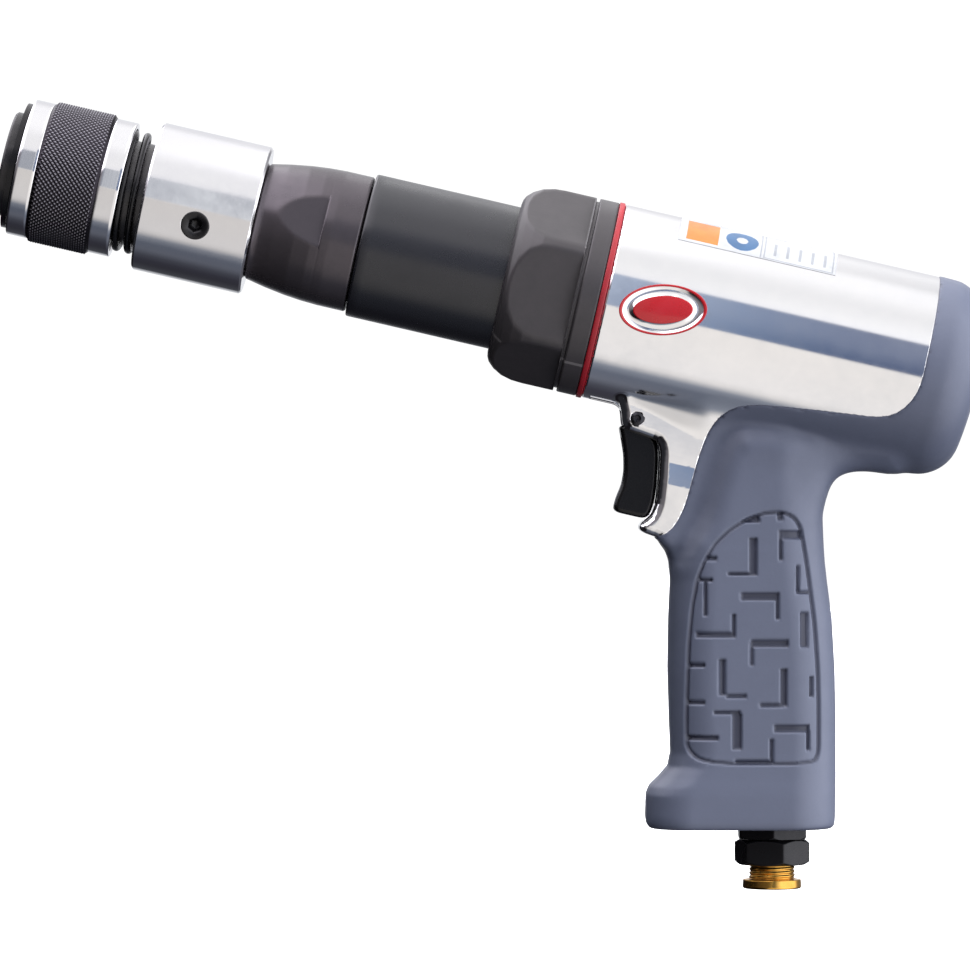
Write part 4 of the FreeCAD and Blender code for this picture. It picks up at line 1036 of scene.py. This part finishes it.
    def _label(self) -> None:
        """Build the label: a curved film whose faces take plain blocks of colour."""
        x, degrees = np.linspace(150.8, 196.4, 229), np.linspace(88.0, 132.0, 109)
        grid_x, grid_a = np.meshgrid(x, np.radians(degrees), indexing="ij")
        upright = np.stack([0 * grid_x, np.cos(grid_a), np.sin(grid_a)], -1)
        spine = np.stack([grid_x, 0 * grid_x, 0 * grid_x], -1)
        top, low = (spine + upright * (self.radius + lift) for lift in (0.10, 0.03))
        rows, columns = grid_x.shape
        points = np.concatenate([top.reshape(-1, 3), low.reshape(-1, 3)])
        upper = grid_quads(rows, columns, False, False)
        lower = upper[:, ::-1] + rows * columns
        index = np.arange(rows * columns).reshape(rows, columns)
        rim = np.concatenate([index[:, 0], index[-1, 1:], index[-2::-1, -1], index[0, -2:0:-1]])
        after = np.roll(rim, -1)
        sides = np.stack([rim, after, after + rows * columns, rim + rows * columns], 1)
        faces = np.concatenate([upper, lower, sides])
        x, y, z = points[upper].mean(1).T
        turn = np.degrees(np.arctan2(z, y))
        orange, blue, grey = 1, 2, 3
        choice = np.zeros(len(faces), int)
        block = choice[:len(upper)]
        block[(x > 152.9) & (x < 162.2) & (turn > 103) & (turn < 129.5)] = orange
        dot = ((x - 168.9) / 4.7) ** 2 + ((turn - 118.0) / 11.0) ** 2
        block[(dot < 1.0) & (dot > 0.12)] = blue
        edge = np.minimum(np.minimum(x - 175.4, 195.6 - x), np.minimum(turn - 98.0, 131 - turn) / 2)
        block[(edge > 0.0) & (edge < 0.4)] = grey
        ticks = (np.abs((x - 178.0) % 3.6 - 0.6) < 0.4) & (edge > 2.0) & (turn > 112)
        block[ticks | (np.abs(x - 174.6) < 0.2) & (turn > 98) & (turn < 131)] = grey
        self.shop.piece("top_label_film", points, faces,
                        ["label_film", "label_orange", "label_blue", "label_grey"], ["top_label"],
                        choice=choice)


@dataclass
class Grip:
    """The rubber overmould over the rear of the housing, its cap and the handle."""

    shop: Workshop
    housing: Housing
    step: float = 0.88
    floor: float = 0.35
    groove: float = 1.05
    shift: tuple[float, float] = (-1.0, -0.4)
    radius: float = 28.2
    base: float = 180.6
    proud: float = 0.22
    stations: tuple = (20.0, 60.0, 92.0, 97.5, 99.5, 101.5, 104.5, 110.0, 121.0, 135.0, 149.0, 159.0,
                       163.0, 166.0, 168.6, 171.0, 177.4, 180.6)
    fronts: tuple = (150.5, 149.0, 147.2, 146.6, 147.6, 148.9, 149.7, 150.1, 149.6, 149.4, 149.8,
                     150.2, 149.4, 146.8, 144.2, 143.2, 143.0, 143.4)
    backs: tuple = (192.6, 192.8, 193.4, 193.6, 193.7, 193.8, 194.0, 194.6, 196.0, 196.8, 197.1,
                    197.1, 197.1, 197.1, 197.0, 197.0, 196.9, 196.6)
    widths: tuple = (16.6, 16.7, 17.0, 17.1, 17.1, 17.2, 17.2, 17.3, 17.5, 17.6, 17.6, 17.5, 17.6,
                     17.8, 18.1, 18.3, 18.4, 18.2)
    panel: tuple = (
        (177.5, 90.6), (182.4, 90.5), (185.8, 91.8), (187.9, 94.6), (188.9, 99.4), (190.0, 105.7),
        (191.0, 113.3), (192.0, 121.0), (192.6, 128.0), (193.1, 136.1), (193.3, 145.1),
        (193.3, 158.3), (192.6, 161.1), (191.0, 162.1), (185.8, 162.5), (169.2, 162.6),
        (162.3, 162.1), (158.1, 161.1), (155.7, 159.3), (154.6, 156.9), (154.5, 148.6),
        (154.8, 138.2), (155.2, 127.8), (156.2, 117.4), (157.6, 109.8), (159.8, 104.3),
        (163.0, 99.4), (167.1, 95.6), (172.0, 92.5),
    )
    heel: tuple = (
        (198.0, -22.0), (198.0, -46.0), (206.5, -41.0), (207.4, -37.5), (208.6, -34.6), (210.6, -32.4),
        (214.0, -30.6), (219.0, -29.2), (226.0, -28.0), (226.0, -22.0),
    )
    channels: tuple = (
        (170.4, 175.8, 92.0, 93.9), (180.9, 182.4, 90.9, 93.2), (182.3, 188.4, 96.2, 98.5),
        (181.4, 182.3, 96.2, 104.6), (173.0, 175.0, 98.2, 108.8), (167.0, 173.6, 107.9, 108.8),
        (186.4, 187.3, 106.0, 114.0), (186.4, 190.2, 113.1, 114.0), (158.4, 162.4, 109.6, 110.5),
        (159.8, 160.8, 110.4, 120.3), (170.6, 181.4, 113.8, 115.8), (180.4, 181.4, 115.0, 121.3),
        (160.4, 163.6, 103.4, 104.6), (157.6, 168.9, 124.9, 126.3), (168.0, 168.9, 119.9, 125.2),
        (187.6, 189.8, 119.2, 129.2), (173.4, 183.9, 127.1, 129.0), (173.2, 174.0, 127.9, 134.4),
        (155.2, 160.2, 133.7, 134.8), (164.4, 166.1, 132.5, 142.8), (166.5, 171.9, 142.5, 143.4),
        (181.7, 183.6, 135.3, 145.9), (175.9, 182.4, 145.1, 146.0), (190.2, 191.3, 137.5, 143.1),
        (155.0, 160.2, 144.3, 145.2), (162.8, 170.4, 147.2, 148.1), (168.2, 170.7, 147.9, 158.0),
        (179.9, 190.0, 151.2, 153.1), (189.4, 190.2, 152.7, 158.3), (154.8, 164.0, 154.2, 155.4),
        (178.8, 179.7, 155.2, 161.6), (168.9, 179.0, 161.0, 161.9),
    )

    def __post_init__(self) -> None:
        """Round the outlines once."""
        self.panel_line = rounded(self.panel, 1.4, 3) + self.shift
        self.heel_line = rounded(self.heel, 2.0, 3)

    def field(self, x: np.ndarray, y: np.ndarray, z: np.ndarray) -> np.ndarray:
        """Field of the rubber: a domed cylinder joined to a raked handle, kept to the rubber's region.

        The handle's section is a rectangle with round corners whose front, back and half width
        change down the handle. Towards the seam the handle draws in to the metal neck's width and
        the blend with the cylinder fades, so that rubber and metal meet flush.
        """
        r = np.hypot(y, z)
        end = 243.6 - 0.0045 * np.minimum(r, self.radius) ** 2
        cap = tray(r - self.radius, x - end, 9.0)
        along, down = swap(x, z)
        seam = self.housing.seam(x, z)
        near = smoothstep(-seam, 0.0, 13.0)
        low, high, wide = (
            np.interp(down, self.stations, row) for row in (self.fronts, self.backs, self.widths)
        )
        pull = np.maximum(near, smoothstep(down, 96.0, 108.0))
        half = 12.6 + (wide - 12.6) * pull
        middle, reach = (low + high) / 2, (high - low) / 2
        handle = tray(np.abs(along - middle) - reach, np.abs(y) - half, np.minimum(13.0, half - 1.0))
        handle = tray(handle, down - self.base, 1.6)
        blend = 1.0 + 12.0 * smoothstep(-seam, 0.0, 16.0)
        proud = self.housing.outside(x, y, z) - self.proud
        heel = tray(outline_distance(x, z, self.heel_line), np.abs(y) - 12.0, 6.0)
        outer = join(join(cap, handle, blend), heel, 7.0)
        outer = outer + (proud - outer) * (1 - smoothstep(-seam, 1.0, 10.0))
        solid = keep_both(outer, seam + 0.05, 0.9)
        inlet = np.maximum(np.hypot(along - INLET_ALONG, y) - 9.05, 157.0 - down)
        return np.maximum(solid, -np.minimum(self.housing.bores(x, y, z), inlet))

    def raked_field(self, along: np.ndarray, y: np.ndarray, down: np.ndarray) -> np.ndarray:
        """The same field, read in the raked frame."""
        x, z = swap(along, down)
        return self.field(x, y, z)

    def _carve(self, along: np.ndarray, down: np.ndarray) -> tuple[np.ndarray, np.ndarray]:
        """Work out the side panel: a groove at its outline, a lowered floor and the L channels.

        Args:
            along: the places' distance across the handle.
            down: the places' distance along the handle.

        Returns:
            How deep each place is sunk, and how much painted shade it takes in a channel or the outline
            groove, from 0 to 1.
        """
        inner = -outline_distance(along, down, self.panel_line)
        rim = smoothstep(inner, -0.15, 0.25) * (1 - smoothstep(inner, 0.75, 1.15))
        depth = self.floor * smoothstep(inner, 0.0, 0.5) + 0.6 * rim
        cut = np.zeros_like(depth)
        along, down = along - self.shift[0], down - self.shift[1]
        for a0, a1, d0, d1 in self.channels:
            away = np.maximum(np.abs(along - (a0 + a1) / 2) - (a1 - a0) / 2,
                              np.abs(down - (d0 + d1) / 2) - (d1 - d0) / 2)
            cut = np.maximum(cut, 1 - smoothstep(away, -0.2, 0.2))
        cut *= smoothstep(inner, 0.0, 0.4)
        # The second share is painted shade: full in the channels and 0.8 in the outline groove.
        return depth + self.groove * cut, np.maximum(cut, 0.8 * rim)

    def _detail(self, mesh: bpy.types.Mesh) -> None:
        """Divide the faces of both side panels and beside the seam, settle them, carve the panels and
        note painted shade in the panel's grooves and along the seam.

        Args:
            mesh: the overmould's mesh.
        """
        def place_of(place: np.ndarray) -> tuple[np.ndarray, np.ndarray, np.ndarray]:
            along, down = swap(place[:, 0], place[:, 2])
            side = (outline_distance(along, down, self.panel_line) < 1.2) & (np.abs(place[:, 1]) > 9.0)
            return along, down, side

        def pick(place: np.ndarray) -> np.ndarray:
            edge = np.abs(self.housing.seam(place[:, 0], place[:, 2])) < 1.2
            return place_of(place)[2] | (edge & (np.abs(place[:, 1]) > 3.0))

        refine(mesh, pick)
        place = settle(self.field, places(mesh), 2)[0]
        along, down, side = place_of(place)
        normal = settle(self.field, place[side], 0)[1]
        sunk, shade_share = self._carve(along[side], down[side])
        fade = smoothstep(np.abs(normal[:, 1]), 0.25, 0.6)
        place[side] -= normal * (sunk * fade)[:, None]
        mesh.vertices.foreach_set("co", (place * MM).ravel())
        # Painted shade: a thin dark line on the rubber along the seam, and the panel's channels and
        # groove.
        edge = self.housing.seam(place[:, 0], place[:, 2])
        painted_shade = smoothstep(edge, -0.65, -0.1)
        painted_shade[side] = shade_share * fade
        note_painted_shade(mesh, painted_shade)

    def build(self) -> None:
        """Build the overmould on a grid laid in the raked frame."""
        low, high = (140.5, -29.8, 18.0), (247.5, 29.8, 182.6)
        points, faces = level_surface(self.raked_field, low, high, self.step)
        self.shop.piece("grip_overmould_skin", to_row(*points.T), faces[:, ::-1], "grip_rubber",
                        ["grip_overmould"], clean=False, detail=self._detail)


@dataclass
class Trigger:
    """The glossy trigger that swings about its pivot."""

    shop: Workshop
    half: float = 7.4
    drops: tuple = (30.0, 36.0, 41.0, 46.0, 51.0, 58.0)
    fronts: tuple = (147.0, 148.0, 150.0, 151.2, 151.2, 150.6)
    outline: tuple = (
        (147.3, -35.0), (146.9, -33.9), (148.3, -33.2), (147.9, -30.8), (148.8, -28.6),
        (151.2, -27.6), (153.6, -28.6), (154.8, -31.0), (156.2, -34.3), (158.2, -35.9),
        (159.3, -38.6), (160.0, -42.0), (161.0, -48.0), (161.4, -53.0), (160.8, -57.0),
        (159.2, -58.0), (151.8, -58.0), (150.5, -57.2), (150.6, -54.0), (151.3, -50.0),
        (151.1, -46.0), (150.0, -41.5), (148.4, -37.5),
    )

    def field(self, x: np.ndarray, y: np.ndarray, z: np.ndarray) -> np.ndarray:
        """Field of the trigger: its outline padded sideways, edges rounded, its front face dished."""
        flat = outline_distance(x, z, rounded(self.outline, 1.2, 3))
        solid = tray(flat, np.abs(y) - self.half, 1.3)
        front = np.interp(-z, self.drops, self.fronts)
        groove = np.hypot(x - front + 1.6, y * 0.55) - 2.4
        solid = keep_both(solid, -np.maximum(groove, z + 37.0), 0.8)
        return np.maximum(solid, PIN_BORE - np.hypot(x - PIN_X, z - PIN_Z))

    def build(self) -> None:
        """Build the trigger."""
        points, faces = level_surface(self.field, (145.4, -8.4, -59.4), (162.6, 8.4, -26.6), 0.33)
        self.shop.piece("trigger_lever", points, faces, "trigger_plastic", ["trigger"], "trigger",
                        clean=False, field=self.field)


@dataclass
class Inlet:
    """The black hexagons and the brass nipple under the handle, and the throttle's return spring."""

    shop: Workshop
    half: float = 9.525
    thread_pitch: float = 1.1
    thread_depth: float = 0.5

    def build(self) -> None:
        """Build the bushing, adapter, nipple and return spring."""
        self._hexagon("inlet_bushing_hex", "inlet_bushing", [
            (160.0, 5.0), (160.0, 9.0), (180.6, 9.0), (180.7, 10.9), (183.0, 10.95), (183.7, 10.2),
            (183.7, 6.72), (171.9, 6.72), (171.9, 5.0),
        ], 180.65, 0.0)
        self._hexagon("inlet_adapter_hex", "inlet_adapter", [
            (172.0, 4.5), (172.0, 6.7), (184.0, 6.7), (184.0, 9.4), (184.9, 11.0), (190.2, 11.0),
            (191.2, 9.3), (191.2, 6.72), (184.9, 6.72), (184.9, 4.5),
        ], 184.0, -15.0)
        self._nipple()
        points, faces = coil_points(start=170.2, span=11.4, pitch=1.9, coil=3.6, wire=0.45)
        along, across, up = points.T
        spring = self.shop.piece("throttle_spring_coils", to_row(along, across, THROTTLE_DOWN - up),
                                 faces, "spring_steel", ["throttle_spring"])
        end = to_row(182.2, 0.0, THROTTLE_DOWN) * MM
        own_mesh(spring)

    def _hexagon(
        self, name: str, node: str, corners: Sequence[Sequence[float]], start: float, turn: float
    ) -> None:
        """Build a hexagon fitting: r = min(r(d), half width / cos(angle from the nearest flat)).

        Args:
            name: the piece's name.
            node: the node that it replaces.
            corners: the closed profile's (down, radial) corners.
            start: where down the axis the flats start.
            turn: the hexagon's turn about its axis, in degrees.
        """
        def shape(x: np.ndarray, r: np.ndarray, a: np.ndarray) -> np.ndarray:
            flat = self.half / np.cos(from_flat(a + math.radians(turn)))
            return np.where((x >= start - 1e-6) & (r > 9.2), join(r, flat, 0.25), r)

        points, faces = turned(finer(rounded(corners, 0.15, 3), 0.4), 240, shape)
        self.shop.piece(name, self._upright(points), faces, "fitting_black", [node], slot="black_steel")

    def _nipple(self) -> None:
        """Build the nipple: r = r(d) less a triangular thread that advances by its pitch per turn."""
        corners = [(185.0, 3.5), (185.0, 6.4), (191.2, 6.6), (195.2, 6.7), (195.4, 8.3), (197.6, 8.4),
                   (198.0, 8.1), (198.0, 3.5)]

        def shape(x: np.ndarray, r: np.ndarray, a: np.ndarray) -> np.ndarray:
            phase = (x / self.thread_pitch + a / FULL_TURN) % 1.0
            within = (r > 6.0) & (x > 190.8) & (x < 195.1)
            return np.where(within, r - self.thread_depth * np.abs(2 * phase - 1), r)

        points, faces = turned(finer(rounded(corners, 0.2, 3), 0.22), 144, shape)
        self.shop.piece("hose_nipple_thread", self._upright(points), faces, "nipple_brass",
                        ["hose_nipple"])

    @staticmethod
    def _upright(points: np.ndarray) -> np.ndarray:
        """Stand a turned shape on the inlet's axis, its own x running down the handle."""
        down, across, away = points.T
        return to_row(INLET_ALONG + across, away, down)


# ---------------------------------------------------------------- stage


@dataclass
class Studio:
    """The camera, the soft light and the pale floor."""

    centre: tuple[float, float, float] = (0.1134, 0.0, -0.0590)
    distance: float = 1.6
    view_width: float = 0.2771
    floor_height: float = -0.1556
    light_place: tuple[float, float, float] = (0.30, -0.60, 1.00)
    light_power: float = 3.0
    light_size: float = 0.8
    bands: tuple = (
        (-180.0, (236, 238, 242)), (-172.0, (200, 202, 208)), (-164.0, (78, 80, 86)),
        (-140.0, (58, 58, 66)), (-128.0, (60, 60, 70)), (-116.0, (76, 78, 88)),
        (-103.0, (108, 112, 124)), (-90.0, (104, 110, 124)), (-80.0, (138, 144, 156)),
        (-71.0, (236, 233, 231)), (-64.0, (250, 247, 245)), (-8.0, (250, 246, 242)),
        (32.0, (248, 248, 252)), (40.0, (253, 253, 254)), (140.0, (252, 252, 254)),
        (160.0, (240, 240, 244)), (180.0, (236, 238, 242)),
    )
    stripe: tuple = (
        (-0.100, (158, 162, 172)), (-0.078, (172, 176, 184)), (-0.064, (246, 250, 255)),
        (-0.044, (252, 254, 255)), (-0.028, (90, 96, 112)), (-0.008, (88, 94, 114)),
        (0.003, (150, 148, 158)), (0.013, (206, 222, 246)), (0.034, (112, 134, 168)),
        (0.056, (66, 84, 122)), (0.080, (54, 70, 108)),
    )
    end_on: tuple = (
        (-180.0, (30, 28, 32)), (-60.0, (24, 22, 26)), (-34.0, (50, 48, 52)), (-16.0, (124, 120, 124)),
        (10.0, (136, 132, 136)), (24.0, (120, 116, 124)), (36.0, (244, 240, 248)),
        (150.0, (240, 238, 244)), (180.0, (90, 90, 96)),
    )

    def build(self) -> None:
        """Build the camera, the surroundings, the light and the floor."""
        self._camera()
        self._surroundings()
        self._light()
        self._floor()
        scene = bpy.context.scene
        scene.view_settings.view_transform = "Standard"
        scene.view_settings.look = "None"
        scene.view_settings.exposure = 0.0

    def _camera(self) -> None:
        """Aim the camera square at the tool's side, rolled by the handle's rake."""
        data = bpy.data.cameras.new("camera")
        data.sensor_fit = "HORIZONTAL"
        data.sensor_width = 36.0
        data.lens = 36.0 * self.distance / self.view_width
        data.clip_start, data.clip_end = 0.05, 50.0
        camera = placed("camera", data)
        x, y, z = self.centre
        camera.matrix_world = Matrix((
            (COS, -SIN, 0.0, x), (0.0, 0.0, -1.0, y - self.distance), (SIN, COS, 0.0, z), (0, 0, 0, 1),
        ))
        bpy.context.scene.camera = camera

    def _surroundings(self) -> None:
        """Wrap the set in soft bands of light that run along the barrel, and show plain white behind."""
        world = bpy.data.worlds.new("studio")
        bpy.context.scene.world = world
        world.use_nodes = True
        tree = world.node_tree
        tree.nodes.clear()
        w = Wiring(tree)
        part = w.add("SeparateXYZ", {0: w.add("TexCoord").outputs["Generated"]}).outputs
        turn = w.maths("ARCTAN2", part[2], w.times(part[1], -1.0))
        turn = w.times(turn, 180.0 / math.pi)
        rays = w.add("LightPath").outputs
        glossy, spread = rays["Is Glossy Ray"], rays["Is Diffuse Ray"]

        def ramp(value: Socket, stops: tuple) -> Socket:
            low, high = stops[0][0], stops[-1][0]
            node = w.add("ValToRGB", {"Fac": w.spread(value, low, high)})
            elements = node.color_ramp.elements
            for place, colour in stops[1:-1]:
                elements.new((place - low) / (high - low)).color = srgb(*colour)
            elements[0].color, elements[-1].color = srgb(*stops[0][1]), srgb(*stops[-1][1])
            return node.outputs[0]

        along = w.fused(part[0], COS, w.times(part[2], SIN))
        forward = w.rise(part[0], 0.0, -0.05)
        low_turn = w.maths("MAXIMUM", w.maths("MINIMUM", turn, 60.0), -60.0)
        turn = w.fused(w.times(low_turn, forward), 0.2, turn)
        in_stripe = w.times(w.rise(turn, -6.5, -4.5), w.rise(turn, 34.0, 31.0))
        colour = w.mix(in_stripe, ramp(turn, self.bands), ramp(part[0], self.stripe))
        nose = w.times(w.rise(part[0], -0.12, -0.24), glossy)
        colour = w.mix(nose, colour, ramp(turn, self.end_on))
        facing = w.fused(along, 0.86, w.times(part[1], -0.42))
        right = w.rise(facing, 0.42, 0.85)
        behind = w.times(w.rise(along, 0.15, 0.5), w.rise(part[1], 0.15, 0.45))
        left = w.times(w.rise(along, -0.5, -0.8), w.fused(glossy, -0.85, 1.0))
        colour = w.mix(right, colour, (0.95, 0.96, 1.0, 1.0))
        colour = w.mix(w.times(behind, 0.75), colour, (0.12, 0.12, 0.14, 1.0))
        colour = w.mix(left, colour, (0.11, 0.12, 0.14, 1.0))
        over = w.times(w.rise(turn, 60.0, 90.0), w.rise(turn, 158.0, 132.0))
        blacks = w.times(w.rise(part[0], -0.037, -0.029), w.rise(part[0], 0.011, 0.005))
        boost = w.fused(w.times(blacks, glossy), 1.9, w.fused(spread, 2.8, 0.15))
        power = w.fused(over, boost, 1.0)
        for factor, change in (
            (right, 1.3),
            (w.times(nose, w.rise(turn, 22.0, 36.0)), 2.4),
            (w.times(forward, w.rise(turn, -4.0, -8.0)), -0.26),
            (w.times(spread, w.rise(turn, -5.0, -35.0)), -0.5),
        ):
            power = w.fused(factor, change, power)
        room = w.add("Background", {"Color": colour, "Strength": power})
        plain = w.add("Background", {"Color": (1, 1, 1, 1), "Strength": 1.05})
        seen = rays["Is Camera Ray"]
        both = w.add("MixShader", {0: seen, 1: room.outputs[0], 2: plain.outputs[0]})
        out = w.add("OutputWorld")
        tree.links.new(both.outputs[0], out.inputs["Surface"])

    def _light(self) -> None:
        """Hang a soft square light that faces the middle of the set."""
        data = bpy.data.lights.new("key", "AREA")
        data.energy, data.size, data.shape = self.light_power, self.light_size, "SQUARE"
        light = placed("key", data)
        light.visible_glossy = False
        back = np.array(self.light_place) - np.array(self.centre)
        back /= np.linalg.norm(back)
        right = np.cross((0.0, 0.0, 1.0), back)
        right /= np.linalg.norm(right)
        rows = np.stack([right, np.cross(back, right), back, self.light_place], 1)
        light.matrix_world = Matrix(rows.tolist() + [[0.0, 0.0, 0.0, 1.0]])

    def _floor(self) -> None:
        """Lay a pale round floor: rings of points at growing radii."""
        radii = np.array([0.0, 0.3, 0.8, 2.0, 5.0, 12.0])[:, None]
        angle = round_angles(64)
        x, y = self.centre[0] + radii * np.cos(angle), radii * np.sin(angle)
        points = np.stack([x, y, np.full(x.shape, self.floor_height)], -1).reshape(-1, 3)
        mesh = bpy.data.meshes.new("floor")
        mesh.from_pydata(points.tolist(), [], grid_quads(*x.shape, False, True).tolist())
        with opened(mesh) as work:
            bmesh.ops.remove_doubles(work, verts=work.verts, dist=1e-6)
            bmesh.ops.recalc_face_normals(work, faces=work.faces)
        material = bpy.data.materials.new("floor_paper")
        material.use_nodes = True
        w = Wiring(material.node_tree)
        shader = material.node_tree.nodes["Principled BSDF"]
        noise = w.add("TexNoise", {"Scale": 30.0, "Detail": 3.0})
        tone = w.add("MapRange", {"Value": noise.outputs[0], "To Min": 0.88, "To Max": 0.92})
        material.node_tree.links.new(tone.outputs[0], shader.inputs["Base Color"])
        for title, value in (("Roughness", 0.9), ("Specular IOR Level", 0.1),
                             ("Emission Color", (1, 1, 1, 1)), ("Emission Strength", 0.85)):
            shader.inputs[title].default_value = value
        mesh.materials.append(material)
        floor = placed("floor", mesh)
        floor.visible_glossy = floor.visible_diffuse = False


def dress_frame(shop: Workshop) -> None:
    """Give every node of the frame the finish of its slot."""
    slots = {part["node"]: part.get("material_slot") for part in frame["record"]["subparts"]}
    for name, obj in frame["nodes"].items():
        obj.data.materials.clear()
        obj.data.materials.append(shop.material(slots.get(name) or "black_steel"))


def main() -> None:
    """Build the stage and every sub-assembly."""
    Studio().build()
    shop = Workshop()
    dress_frame(shop)
    housing = Housing(shop)
    for part in (Retainer(shop), Barrel(shop), housing, Grip(shop, housing), Trigger(shop), Inlet(shop)):
        part.build()
        LOG.info("%s done", type(part).__name__)


if __name__ == "__main__":
    main()
